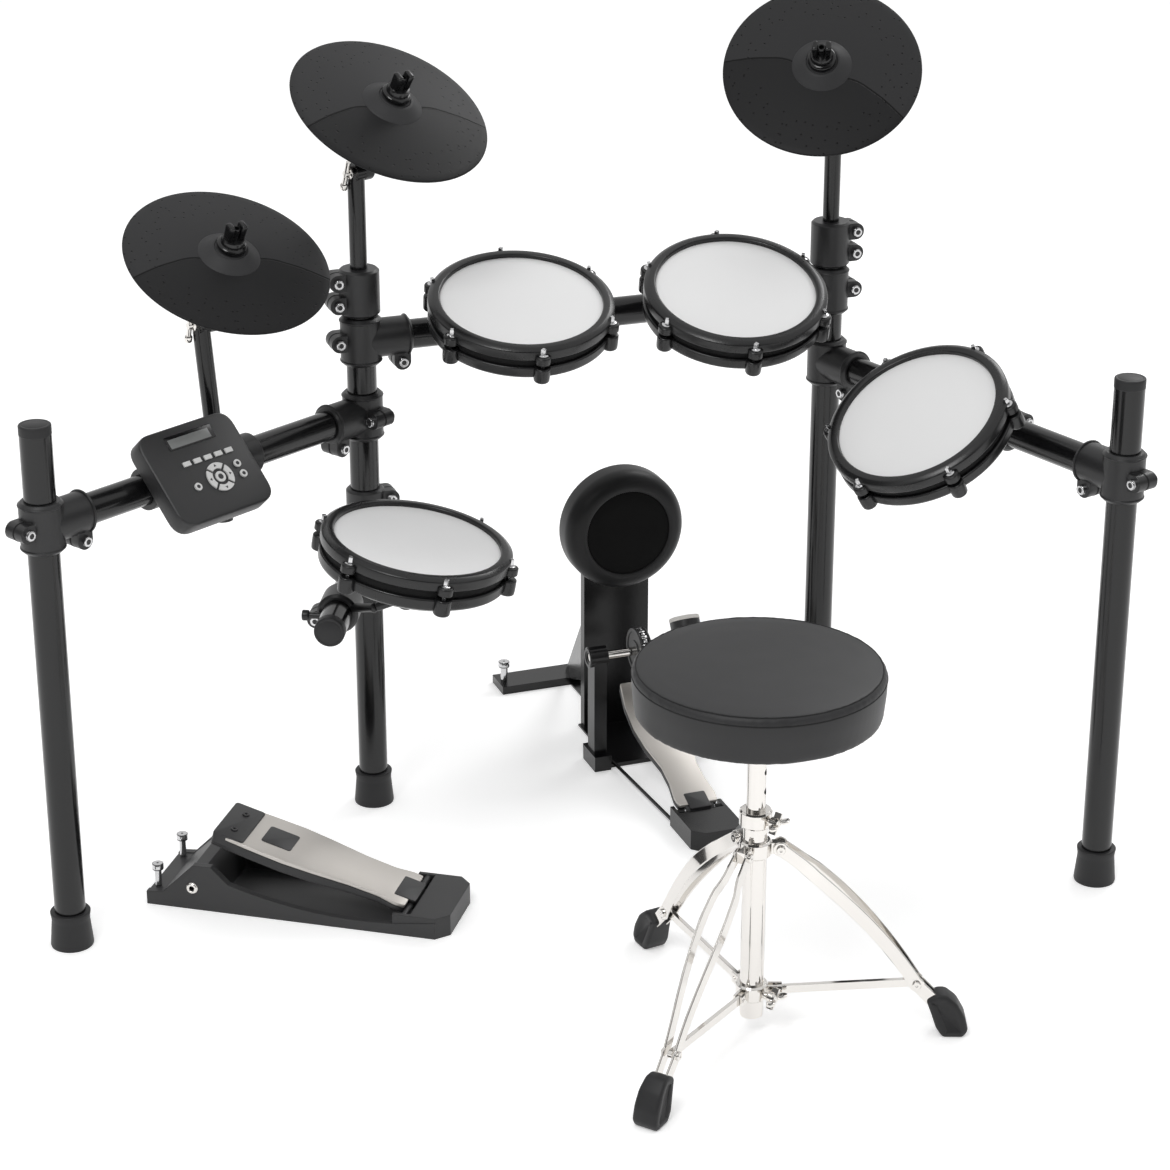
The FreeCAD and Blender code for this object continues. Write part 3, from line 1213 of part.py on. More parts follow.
def seat_post():
    height = seat_base - dim("seat_post_bottom") - 2
    tube = cylinder("seat_tube", dim("seat_post_radius"), height,
                    throne_middle + UP * float(dim("seat_post_bottom")))
    flange = cylinder("seat_plate", dim("seat_plate_radius"), 4, throne_middle + UP * float(seat_base - 4))
    hub = cylinder("seat_hub", dim("seat_post_radius") + 6, 22, throne_middle + UP * float(seat_base - 26))
    holes = []
    for i in range(1, 4):
        level = dim("stand_top") + dim("seat_hole_pitch") * i
        holes.append(centred_cylinder(f"seat_hole_{i}", dim("pin_radius"), dim("seat_plate_radius"),
                                      throne_middle + UP * float(level), heading(dim("seat_hole_angle"))))
    return node("seat_post", cut("seat_post_cut", fuse("seat_post_solid", tube, flange, hub), *holes))


def seat_cushion():
    """A round cushion: a flat base, sides drawn in below the seam, and a crowned top."""
    base = seat_base + clear_gap
    seam = seat_base + dim("seat_side")
    radius = dim("seat_radius")
    top = seam + dim("seat_crown")
    rim = radius - dim("seat_rim")
    crown = dim("seat_crown")
    crown_arc = (rim * rim + crown * crown) / (crown * 2)
    made = turned("seat_cushion_turned", [(0, base), (radius - 9, base), (radius - 4, base + 4),
                                          (radius, seam - 14), (radius - 2, seam - 3), (rim, seam), (0, top)],
                  {5: ((rim / 2, top - crown / 4), crown_arc)})
    return node("seat_cushion", made, Placement(throne_middle, STILL))


tripod_tube()
brace_collar()
for step, angle in enumerate(leg_angles, start=1):
    leg(f"leg_{step}", angle)
    brace(f"brace_{step}", angle)
seat_post()
seat_cushion()

doc.recompute()
broken = [o.Name for o in doc.Objects if "Invalid" in o.State or "Error" in o.State]
if broken:
    raise RuntimeError(f"failed objects: {broken}")
for label, made in nodes.items():
    if made.Shape.isNull() or not made.Shape.isValid():
        raise RuntimeError(f"bad shape: {label}")

os.makedirs("parts", exist_ok=True)
for label, made in nodes.items():
    made.Shape.exportStep(os.path.join("parts", f"{label}.step"))
print(f"{len(nodes)} sub-parts written")
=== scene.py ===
from math import atan2, cos, hypot, pi, radians, sin

import bmesh
import bpy
from mathutils import Matrix, Vector
from mathutils.bvhtree import BVHTree


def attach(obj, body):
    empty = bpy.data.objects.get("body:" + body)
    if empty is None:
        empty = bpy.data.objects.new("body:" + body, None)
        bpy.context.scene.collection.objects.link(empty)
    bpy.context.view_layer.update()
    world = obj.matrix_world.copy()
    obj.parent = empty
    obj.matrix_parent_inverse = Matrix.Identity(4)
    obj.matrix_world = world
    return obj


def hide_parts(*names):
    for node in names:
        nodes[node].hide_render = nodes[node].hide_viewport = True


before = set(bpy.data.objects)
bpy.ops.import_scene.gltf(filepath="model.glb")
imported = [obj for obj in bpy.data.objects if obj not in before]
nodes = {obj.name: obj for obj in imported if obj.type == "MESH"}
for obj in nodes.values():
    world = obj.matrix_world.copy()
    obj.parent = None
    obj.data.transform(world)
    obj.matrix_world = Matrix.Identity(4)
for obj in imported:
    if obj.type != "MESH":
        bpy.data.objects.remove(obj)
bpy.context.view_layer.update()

# Electronic drum kit on a tube rack: gloss black tube, satin black clamps, pale mesh heads,
# matte rubber cymbals and a chrome throne. Lengths are in millimetres until they reach a mesh.

kit = {"x": 160.86, "y": 293.79}  # where the middle of the rear bar stands from the origin
up = Vector((0, 0, 1))
across = Vector((1, 0, 0))
away = Vector((0, 1, 0))
drummerSide = Vector((-0.343, -0.939, 0))


def spot(x, y, z):
    return Vector((x + kit["x"], y + kit["y"], z)) / 1000


def heading(angle):
    return Vector((cos(radians(angle)), sin(radians(angle)), 0))


def axesAt(origin, xAxis, zAxis):
    zWay = zAxis.normalized()
    yWay = zWay.cross(xAxis).normalized()
    turn = Matrix((yWay.cross(zWay), yWay, zWay)).transposed()
    return Matrix.Translation(origin) @ turn.to_4x4()


def linear(hexColour):
    parts = [int(hexColour[i:i + 2], 16) / 255 for i in (1, 3, 5)]
    return tuple(c / 12.92 if c <= 0.04045 else ((c + 0.055) / 1.055) ** 2.4 for c in parts) + (1.0,)


print("materials")


def addNode(tree, kind, settings=None, links=None):
    made = tree.nodes.new("ShaderNode" + kind)
    for name, value in (settings or {}).items():
        if isinstance(name, int) or name in made.inputs:
            made.inputs[name].default_value = value
        else:
            setattr(made, name, value)
    for name, source in (links or {}).items():
        output = source.outputs[0] if hasattr(source, "outputs") else source  # a node stands for its first output
        tree.links.new(output, made.inputs[name])
    return made


# One finish: colour, gloss and its cloudiness (mm, +-), grain (mm, depth mm), softened edges of CAD solids
# (mm) and a second colour that clouds the first (mm, colour).
def surface(name, colour, rough, metal=0.0, cloud=None, grain=None, edge=0.0, coat=0.0, sheen=0.0,
            mottle=None, spec=0.5):
    made = bpy.data.materials.new(name)
    made.use_nodes = True
    tree = made.node_tree
    shader = tree.nodes["Principled BSDF"]
    looks = {"Base Color": linear(colour), "Roughness": rough, "Metallic": metal, "Specular IOR Level": spec,
             "Coat Weight": coat, "Coat Roughness": 0.1, "Sheen Weight": sheen}
    for socket, value in looks.items():
        shader.inputs[socket].default_value = value
    where = addNode(tree, "TexCoord").outputs["Object"]
    if cloud:
        size, change = cloud
        noise = addNode(tree, "TexNoise", {"Scale": 1000 / size, "Detail": 4.0}, {"Vector": where})
        level = addNode(tree, "MapRange", {"To Min": rough - change, "To Max": rough + change}, {"Value": noise})
        tree.links.new(level.outputs[0], shader.inputs["Roughness"])
    if mottle:
        size, other = mottle
        noise = addNode(tree, "TexNoise", {"Scale": 1000 / size, "Detail": 5.0}, {"Vector": where})
        mix = addNode(tree, "Mix", {"data_type": "RGBA", 6: linear(colour), 7: linear(other)}, {0: noise})
        tree.links.new(mix.outputs[2], shader.inputs["Base Color"])
    last = addNode(tree, "Bevel", {"samples": 4, "Radius": edge / 1000}).outputs[0] if edge else None
    if grain:
        size, depth = grain
        noise = addNode(tree, "TexNoise", {"Scale": 1000 / size, "Detail": 2.0}, {"Vector": where})
        bump = addNode(tree, "Bump", {"Strength": 0.6, "Distance": depth / 1000}, {"Height": noise})
        if last:
            tree.links.new(last, bump.inputs["Normal"])
        last = bump.outputs[0]
    if last:
        tree.links.new(last, shader.inputs["Normal"])
    return made


# Powder-coated steel tube: a thick gloss film, faintly orange-peeled, so highlights run the tube's length.
powderCoat = surface("powderCoatedSteel", "#101011", 0.2, cloud=(60, 0.03), grain=(2.4, 0.02), coat=0.15, spec=0.4)
# Injection-moulded nylon: satin, with a fine spark-eroded grain that breaks the shine up.
nylon = surface("mouldedNylon", "#202021", 0.38, cloud=(70, 0.05), grain=(1.1, 0.04), edge=1.3, mottle=(90, "#262627"))
# Nylon from a polished mould: small sharp highlights on the nuts.
nylonGloss = surface("polishedNylon", "#121213", 0.2, cloud=(30, 0.03))
# Compression-moulded rubber: a soft sheen on the hoops, duller on the kick pad, and greyest on the feet.
hoopRubber = surface("mouldedRubberHoop", "#121213", 0.28, cloud=(60, 0.04), grain=(0.9, 0.03), mottle=(80, "#1a1a1b"))
kickRubber = surface("mouldedRubberShell", "#151516", 0.42, cloud=(60, 0.05), grain=(1.0, 0.04),
                     mottle=(90, "#1b1b1c"), spec=0.28)
footRubber = surface("mouldedRubberFoot", "#272728", 0.5, cloud=(40, 0.05), grain=(1.4, 0.05), mottle=(50, "#2d2d2e"),
                     spec=0.35)
# Folded sheet steel under satin stove enamel: flat, with soft bright folds.
paintedSteel = surface("stoveEnamelledSheet", "#0e0e0f", 0.24, cloud=(80, 0.04), grain=(1.8, 0.02), edge=0.8, spec=0.4)
# Bright chrome plate: hard dark and light bands. Zinc plate is greyer and blurs them.
chrome = surface("chromePlatedSteel", "#e3e0dc", 0.06, metal=1.0, cloud=(35, 0.02), edge=0.7)
zinc = surface("zincPlatedScrew", "#cfcfd0", 0.18, metal=1.0, cloud=(6, 0.05))
# Vibratory-finished aluminium: a warm even silver with no direction in its shine.
castSilver = surface("satinCastAluminium", "#cfcbc6", 0.4, metal=0.75, cloud=(45, 0.05), grain=(0.7, 0.02),
                     mottle=(60, "#c7c2bc"))
# Pressed wool felt: pale, with a fuzzy edge to the light.
felt = surface("pressedFelt", "#dcdad6", 0.95, grain=(0.9, 0.25), sheen=0.4, mottle=(4, "#cfccc6"))
# Calendered vinyl: a fine leather grain embossed on a cloth back, with a dull sheen. The side band's copy is the same
# vinyl made darker as painted shade.
vinyl = surface("calenderedVinyl", "#303031", 0.5, cloud=(60, 0.05), grain=(1.5, 0.06), mottle=(70, "#363637"),
                spec=0.3)
# The side band's vinyl: a darker copy of the top's, as painted shade on the side.
vinylShadedSide = surface("calenderedVinylShadedBand", "#262627", 0.44, cloud=(60, 0.05), grain=(1.5, 0.06),
                    mottle=(70, "#2c2c2d"), spec=0.4)
# Stitching drawn down into the cover: a thin dull line of painted shadow in its groove.
seamShadow = surface("sunkenSeamShadow", "#131314", 0.8, grain=(0.6, 0.1))
# Spark-eroded ABS: an even dark grey with a fine tooth. The pedal base's copy is a little lighter, as painted light.
caseGrey = surface("sparkErodedAbs", "#262627", 0.42, cloud=(50, 0.04), grain=(0.8, 0.03), edge=1.2,
                   mottle=(60, "#2b2b2c"))
baseGreyLit = surface("sparkErodedAbsLitBase", "#2e2e2f", 0.46, cloud=(70, 0.05), grain=(1.0, 0.04), edge=1.8,
                   mottle=(80, "#343435"))
# Acrylic printed on its back: a clean gloss window. The keys are soft silicone with dull printed signs.
bezelBlack = surface("backPrintedAcrylic", "#0c0c0d", 0.2, cloud=(20, 0.03))
keyGrey = surface("siliconeKey", "#dadad9", 0.55, cloud=(8, 0.05), edge=0.5, mottle=(12, "#d2d2d1"))
keyInk = surface("keyPrint", "#303032", 0.6, cloud=(4, 0.05))
display = surface("displayGlass", "#7b7d7c", 0.2, cloud=(20, 0.04), mottle=(30, "#717372"))
# Drawn wire: bright, and slightly blurred along the coil.
springWire = surface("drawnSpringWire", "#b9babb", 0.25, metal=1.0, cloud=(5, 0.05))
# Painted shadow: a near-black solid put in a clamp's slit, an open hole and the gap between hoop and bowl, where only
# shade falls.
shadowGap = surface("paintedShadowGap", "#070708", 0.85, cloud=(10, 0.05))
# Rubber sheet on foam: the deepest, flattest black.
padFace = surface("foamBackedRubber", "#0a0a0a", 0.7, cloud=(40, 0.05), grain=(0.8, 0.04), mottle=(30, "#0e0e0e"),
                  spec=0.12)


# Woven polyester mesh: pale and even, with a fine weave that softens the light.
def wovenHead():
    made = surface("wovenMeshHead", "#f0f0f0", 0.6, mottle=(160, "#eaeaea"))
    tree = made.node_tree
    where = addNode(tree, "TexCoord").outputs["Object"]
    weave = addNode(tree, "Math", {"operation": "MAXIMUM"})
    threadEvery = 1.2  # mm; real threads are 0.25 mm apart and are drawn coarser, so that they show
    for i, way in enumerate(("X", "Y")):
        wave = addNode(tree, "TexWave", {"bands_direction": way, "Scale": 1000 / threadEvery / 20}, {"Vector": where})
        tree.links.new(wave.outputs[1], weave.inputs[i])
    bump = addNode(tree, "Bump", {"Strength": 0.2, "Distance": 0.0001}, {"Height": weave})
    tree.links.new(bump.outputs[0], tree.nodes["Principled BSDF"].inputs["Normal"])
    return made


headMesh = wovenHead()
# The lower field's tone is partly its own and partly painted shade; the bell's lighter tone is a painted highlight.
seamLine = {"points": [(0.0, -19), (12, -18), (26, -11), (46, -6.5), (70, -11), (118, -30), (128, -36)],
            "core": 0.7, "width": 1.9, "pitEvery": 15, "fieldTone": "#313132", "strikeToneAndShade": "#202021", "bell": 38.4,
            "bellPaintedHighlight": "#3a3a3b", "reach": 128, "pitsFrom": 78, "pitSize": (0.045, 0.09), "depth": 0.7}


# Moulded rubber: matte, in two fields that meet at a wavy seam, with moulding pits towards the edge. Painted shade
# darkens the seam and the pits and, together with the rubber's own tone, the lower field; a painted highlight lightens
# the bell.
def cymbalRubber():
    reachM = seamLine["reach"] / 1000
    made = surface("mouldedCymbalRubber", seamLine["fieldTone"], 0.5, spec=0.18)
    tree = made.node_tree
    shader = tree.nodes["Principled BSDF"]
    where = addNode(tree, "TexCoord").outputs["Object"]
    split = addNode(tree, "SeparateXYZ", links={0: where})
    outward = addNode(tree, "Math", {"operation": "ABSOLUTE"}, {0: split})
    share = addNode(tree, "Math", {"operation": "DIVIDE", 1: reachM}, {0: outward})
    curve = addNode(tree, "FloatCurve", links={"Value": share})
    line = curve.mapping.curves[0]
    spots = [(x / seamLine["reach"], y / seamLine["reach"] + 0.5) for x, y in seamLine["points"]]
    line.points[0].location, line.points[1].location = spots[0], spots[-1]
    for x, y in spots[1:-1]:
        line.points.new(x, y)
    curve.mapping.update()
    bend = addNode(tree, "Math", {"operation": "MULTIPLY_ADD", 1: reachM, 2: -reachM / 2}, {0: curve})
    side = addNode(tree, "Math", {"operation": "SUBTRACT"}, {0: split.outputs[1], 1: bend})
    near = addNode(tree, "Math", {"operation": "ABSOLUTE"}, {0: side})
    seam = addNode(tree, "MapRange", {"From Min": seamLine["core"] / 1000, "From Max": seamLine["width"] / 1000},
                   {"Value": near})
    flat = addNode(tree, "VectorMath", {"operation": "MULTIPLY", 1: (1, 1, 0)}, {0: where})
    reach = addNode(tree, "VectorMath", {"operation": "LENGTH"}, {0: flat})
    rim = addNode(tree, "Math", {"operation": "GREATER_THAN", 1: seamLine["pitsFrom"] / 1000},
                  {0: reach.outputs["Value"]})
    bell = addNode(tree, "Math", {"operation": "LESS_THAN", 1: seamLine["bell"] / 1000}, {0: reach.outputs["Value"]})
    seam = addNode(tree, "Math", {"operation": "MAXIMUM"}, {0: seam, 1: bell})
    pits = addNode(tree, "TexVoronoi", {"voronoi_dimensions": "2D", "Scale": 1000 / seamLine["pitEvery"]},
                   {"Vector": flat})
    pit = addNode(tree, "MapRange", {"From Min": seamLine["pitSize"][0], "From Max": seamLine["pitSize"][1]},
                  {"Value": pits.outputs["Distance"]})
    spared = addNode(tree, "Math", {"operation": "SUBTRACT", 0: 1.0}, {1: rim})
    pitted = addNode(tree, "Math", {"operation": "MAXIMUM"}, {0: pit, 1: spared})
    height = addNode(tree, "Math", {"operation": "MINIMUM"}, {0: pitted, 1: seam})
    bump = addNode(tree, "Bump", {"Strength": 0.9, "Distance": seamLine["depth"] / 1000}, {"Height": height})
    tree.links.new(bump.outputs[0], shader.inputs["Normal"])
    field = addNode(tree, "Math", {"operation": "GREATER_THAN", 1: 0.0}, {0: side})
    # the lower field darker: partly the rubber's own tone, partly painted shade
    tone = addNode(tree, "Mix", {"data_type": "RGBA", 6: linear(seamLine["strikeToneAndShade"]),
                                 7: linear(seamLine["fieldTone"])}, {0: field})
    # the bell lightened with a painted highlight
    bellHighlighted = addNode(tree, "Mix", {"data_type": "RGBA", 7: linear(seamLine["bellPaintedHighlight"])},
                    {0: bell, 6: tone.outputs[2]})
    # painted shade, darkening the seam's groove and the moulding pits
    shade = addNode(tree, "MapRange", {"To Min": 0.08, "To Max": 1.0}, {"Value": height})
    dark = addNode(tree, "Mix", {"data_type": "RGBA", "blend_type": "MULTIPLY", 0: 1.0},
                   {6: bellHighlighted.outputs[2], 7: shade})
    tree.links.new(dark.outputs[2], shader.inputs["Base Color"])
    return made


cymbalField = cymbalRubber()

print("mesh tools")


def smooth(mesh, angle=38):
    mesh.shade_smooth()
    mesh.set_sharp_from_angle(angle=radians(angle))


def addMesh(name, verts, faces, material, smoothAngle=38):
    mesh = bpy.data.meshes.new(name)
    mesh.from_pydata([tuple(v) for v in verts], [], faces)
    mesh.validate()
    work = bmesh.new()
    work.from_mesh(mesh)
    bmesh.ops.recalc_face_normals(work, faces=work.faces)
    work.to_mesh(mesh)
    work.free()
    made = bpy.data.objects.new(name, mesh)
    bpy.context.scene.collection.objects.link(made)
    mesh.materials.append(material)
    smooth(mesh, smoothAngle)
    return made


def arc(centreR, centreZ, radius, start, end, count=6):
    steps = [radians(start + (end - start) * i / count) for i in range(count + 1)]
    return [(centreR + radius * cos(a), centreZ + radius * sin(a)) for a in steps]


def lathe(profile, segments=96):  # a profile of (radius, height) in mm turned about Z
    verts, faces, rings = [], [], []
    for radius, height in profile:
        if radius < 1e-6:
            rings.append([len(verts)])
            verts.append((0, 0, height / 1000))
        else:
            rings.append(list(range(len(verts), len(verts) + segments)))
            for i in range(segments):
                a = 2 * pi * i / segments
                verts.append((radius * cos(a) / 1000, radius * sin(a) / 1000, height / 1000))
    for low, high in zip(rings, rings[1:]):
        for i in range(segments):
            j = (i + 1) % segments
            corners = [low[i % len(low)], low[j % len(low)], high[j % len(high)], high[i % len(high)]]
            faces.append(list(dict.fromkeys(corners)))
    return verts, [f for f in faces if len(f) > 2]


def asShape(work):
    work.verts.index_update()
    verts = [v.co.copy() for v in work.verts]
    faces = [[v.index for v in f.verts] for f in work.faces]
    work.free()
    return verts, faces


def roundedBox(size, radius, segments=3):  # a box with rounded edges, centred
    work = bmesh.new()
    bmesh.ops.create_cube(work, size=1.0)
    for v in work.verts:
        v.co = Vector(v.co[i] * size[i] / 1000 for i in range(3))
    bmesh.ops.bevel(work, geom=work.edges[:], offset=radius / 1000, segments=segments, profile=0.5, affect="EDGES")
    return asShape(work)


def slab(outline, bottom, top, bevel=1.0, recess=None):  # a plate from an (x, y) outline, with rounded rims
    work = bmesh.new()
    low = [work.verts.new((x / 1000, y / 1000, bottom / 1000)) for x, y in outline]
    face = work.faces.new(low)
    grown = bmesh.ops.extrude_face_region(work, geom=[face])
    lifted = [g for g in grown["geom"] if isinstance(g, bmesh.types.BMVert)]
    bmesh.ops.translate(work, verts=lifted, vec=(0, 0, (top - bottom) / 1000))
    bmesh.ops.recalc_face_normals(work, faces=work.faces)
    if bevel:
        flat = [e for e in work.edges if abs(e.verts[0].co.z - e.verts[1].co.z) < 1e-7]
        bmesh.ops.bevel(work, geom=flat, offset=bevel / 1000, segments=3, profile=0.5, affect="EDGES")
    if recess:  # (how far in from the rim, how deep): a sunken panel on both sides
        caps = [f for f in work.faces if abs(f.normal.z) > 0.99 and len(f.verts) == len(outline)]
        bmesh.ops.inset_individual(work, faces=caps, thickness=recess[0] / 1000, depth=0)
        bmesh.ops.inset_individual(work, faces=caps, thickness=recess[1] / 1000, depth=-recess[1] / 1000)
        verts, faces = asShape(work)
        turned = [f[f.index(min(f)):] + f[:f.index(min(f))] for f in faces]
        return verts, sorted(turned)  # an inset leaves the order of its faces to chance
    return asShape(work)


def joined(*shapes):
    verts, faces = [], []
    for shape, turn in shapes:
        start = len(verts)
        verts += [turn @ Vector(v) for v in shape[0]]
        faces += [[start + i for i in f] for f in shape[1]]
    return verts, faces


def at(x, y, z, turn=None):
    move = Matrix.Translation(Vector((x, y, z)) / 1000)
    return move @ turn if turn is not None else move


def turnTo(way):
    side = across if abs(way.x) < 0.9 * way.length else away
    return axesAt(Vector((0, 0, 0)), side, way)


def bar(points, radius, sides=14):  # a round bar through points
    spots = [Vector(p) / 1000 for p in points]
    verts = []
    for i, p in enumerate(spots):
        turn = turnTo((spots[min(i + 1, len(spots) - 1)] - spots[max(i - 1, 0)]).normalized())
        for k in range(sides):
            a = 2 * pi * k / sides
            verts.append(p + turn @ Vector((radius * cos(a) / 1000, radius * sin(a) / 1000, 0)))
    return verts, walls(len(spots), sides)


def walls(rings, sides, closed=False):  # faces between rings of points, with two ends unless it closes
    faces = []
    for i in range(rings if closed else rings - 1):
        low, high = i * sides, (i + 1) % rings * sides
        faces += [[low + k, low + (k + 1) % sides, high + (k + 1) % sides, high + k] for k in range(sides)]
    ends = [list(range(sides - 1, -1, -1)), [(rings - 1) * sides + k for k in range(sides)]]
    return faces if closed else faces + ends


# a flat strip on edge through (x, y, z) points, deep in the XY plane and thick along Z
def strap(path, depth, thick, corner=0.7):
    verts = []
    half, side = depth / 2, thick / 2
    section = [(half, side - corner), (half - corner, side), (corner - half, side), (-half, side - corner),
               (-half, corner - side), (corner - half, -side), (half - corner, -side), (half, corner - side)]
    for i, (x, y, z) in enumerate(path):
        before, after = path[max(i - 1, 0)], path[min(i + 1, len(path) - 1)]
        step = Vector((after[0] - before[0], after[1] - before[1])).normalized()
        for u, v in section:
            verts.append(Vector((x - step.y * u, y + step.x * u, z + v)) / 1000)
    return verts, walls(len(path), len(section))


def show(name, shape, material, place, body, replaced=(), smoothAngle=38):
    made = addMesh(name, *shape, material, smoothAngle)
    made.matrix_world = place
    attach(made, body)
    if replaced:
        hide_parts(*replaced)
    return made


here = Matrix.Identity(4)
print("CAD nodes")
finishes = {
    powderCoat: ["left_rear_post", "right_rear_post", "rear_bar", "left_side_tube", "left_front_post",
                 "right_side_tube", "right_front_post", "snare_arm_tube", "hihat_rod", "crash_rod", "ride_rod"],
    nylon: ["rear_fittings", "left_fittings", "right_fittings", "snare_arm_fittings"],
    # the hi-hat pedal base takes the lighter copy of the ABS: painted light
    baseGreyLit: ["hihat_base"],
    paintedSteel: ["kick_tower", "kick_pedal_frame"],
    chrome: ["seat_post", "tripod_tube", "brace_collar", "brace_1", "brace_2", "brace_3"],
    display: ["module_screen"], springWire: ["kick_spring"],
    keyGrey: ["ring_keys"] + [f"function_key_{i}" for i in range(1, 6)],
}
for material, names in finishes.items():
    for name in names:
        mesh = nodes[name].data
        mesh.materials.clear()
        mesh.materials.append(material)
        smooth(mesh, 32)

print("rack fittings")
rack = {"halfSpan": 325.5, "leftAngle": -151.3, "leftLength": 525, "rightAngle": -74.0, "rightLength": 556,
        "sideLevel": 552, "barLevel": 652, "rodClampBase": 686, "snareAngle": -115.7, "snareLevel": 366,
        "rodClamp": 60, "rodClampEars": (0.27, 0.76), "lockCollar": 437, "mastAlong": 216, "mastOut": 41,
        "frontCap": 664, "snareEnd": 268, "tBoltAlong": 229, "tBoltOut": 18.6}
clamp = {"earReach": 31, "earRadius": 11, "socketEar": 50.8, "sleeve": 26, "sleeveHeight": 62,
         "socketReach": 64, "lip": 1.7, "gap": 2.2, "padKnuckle": 74, "slit": (10.4, 22.6)}
leftPost, rightPost = spot(-rack["halfSpan"], 0, 0), spot(rack["halfSpan"], 0, 0)
leftWay, rightWay, snareWay = (heading(rack[k]) for k in ("leftAngle", "rightAngle", "snareAngle"))
leftCorner = leftPost + leftWay * (rack["leftLength"] / 1000)
rightCorner = rightPost + rightWay * (rack["rightLength"] / 1000)
side = up * (rack["sideLevel"] / 1000)
barAt = up * (rack["barLevel"] / 1000)
snareRoot = leftPost + up * (rack["snareLevel"] / 1000)
mastWay = Vector((-0.057, 0.061, 1)).normalized()
mastMiddle = leftPost + side + (leftWay * rack["mastAlong"] - up.cross(leftWay) * rack["mastOut"]) / 1000
tees = {
    "rack": [(leftPost + barAt, across, -across), (rightPost + barAt, -across, across)],
    "left_wing": [(leftPost + side, leftWay, up.cross(leftWay)), (leftCorner + side, -leftWay, leftWay)],
    "right_wing": [(rightPost + side, rightWay, up.cross(rightWay)), (rightCorner + side, -rightWay, rightWay)],
    "snare_arm": [(snareRoot, snareWay, up.cross(snareWay))],
}
# middle, normal, body, and where the tube that carries it starts and runs
pads = {
    "tom_1": (spot(-141.6, -95, 710), Vector((-0.026, -0.278, 0.96)), "rack", leftPost + barAt, across),
    "tom_2": (spot(137.4, -125, 705), Vector((-0.056, -0.352, 0.934)), "rack", leftPost + barAt, across),
    "tom_3": (spot(278.2, -372, 599), Vector((-0.521, -0.192, 0.832)), "right_wing", rightPost + side, rightWay),
    "snare": (spot(-337, -269, 477), Vector((0.157, -0.09, 0.983)), "snare_arm", snareRoot, snareWay),
}
gripBack = {"snare": 45}  # the snare sits out beyond its grip on the arm
ears = {body: [] for body in tees}
for body, clamps in tees.items():
    for middle, way, earWay in clamps:
        ears[body].append((middle + way * (clamp["socketEar"] / 1000), -up, way.cross(up)))
        ears[body].append((middle, earWay, earWay.cross(up)))
for post, way in ((leftPost, -across), (rightPost, across)):
    for share in rack["rodClampEars"]:
        ears["rack"].append((post + up * ((rack["rodClampBase"] + rack["rodClamp"] * share) / 1000), way,
                             way.cross(up)))
ears["rack"].append((leftPost + up * (rack["lockCollar"] / 1000), across, across.cross(up)))
ears["left_wing"].append((mastMiddle, -up.cross(leftWay), leftWay))
for name, (middle, normal, body, start, way) in pads.items():
    knuckle = middle - normal.normalized() * (clamp["padKnuckle"] / 1000)
    nearest = start + way * (knuckle - start).dot(way)
    ears[body].append((nearest - way * (gripBack.get(name, 0) / 1000), nearest - knuckle, way))
socketHead = ([(0, 17.6), (3.1, 17.6), (3.3, 20.4)] + arc(4.9, 18.9, 1.7, 95, 5, 4) + [(6.6, 15.1), (0, 15.1)])
backNut = [(0, 20.9), (3.6, 20.9), (3.6, 19.6), (6.6, 19.4), (7.3, 18.6), (7.3, 15.1), (0, 15.1)]
for body, lugs in ears.items():
    heads, nuts, gaps = [], [], []
    for middle, outward, along in lugs:
        out, way = outward.normalized(), along.normalized()
        way = way if way.dot(drummerSide) > 0 else -way
        lug = middle + out * (clamp["earReach"] / 1000)
        heads.append((lathe(socketHead, 24), axesAt(lug, out, way)))
        nuts.append((lathe(backNut, 6), axesAt(lug, out, -way)))
        # Painted shadow: a near-black disc in each lug's slit and a strip along the sleeve's split.
        half = clamp["gap"] / 2
        reach = clamp["earRadius"] + 0.25
        slit = lathe([(0, -half), (reach, -half), (reach, half), (0, half)], 40)
        gaps.append((slit, axesAt(lug, out, way)))
        gaps.append((roundedBox((*clamp["slit"], clamp["gap"]), 0.3),
                     axesAt(lug - out * (clamp["slit"][0] / 2000), out, way)))
    lips = []
    for middle, way, _ in tees[body]:
        rim = arc(clamp["sleeve"] - 0.6, 0, clamp["lip"], -90, 90, 6)
        inner = clamp["sleeve"] - 3.4
        lip = lathe([(inner, -clamp["lip"])] + rim + [(inner, clamp["lip"])], 64)
        for level in (-1, 1):
            lips.append((lip, axesAt(middle + up * (level * (clamp["sleeveHeight"] / 2 - 4.6) / 1000), across, up)))
        lips.append((lip, axesAt(middle + way * ((clamp["socketReach"] - 4.4) / 1000), up, way)))
    show(f"{body}_clamp_lips", joined(*lips), nylon, here, body)
    show(f"{body}_clamp_screws", joined(*heads), zinc, here, body)
    show(f"{body}_clamp_nuts", joined(*nuts), nylonGloss, here, body)
    show(f"{body}_clamp_slit_shadows", joined(*gaps), shadowGap, here, body)

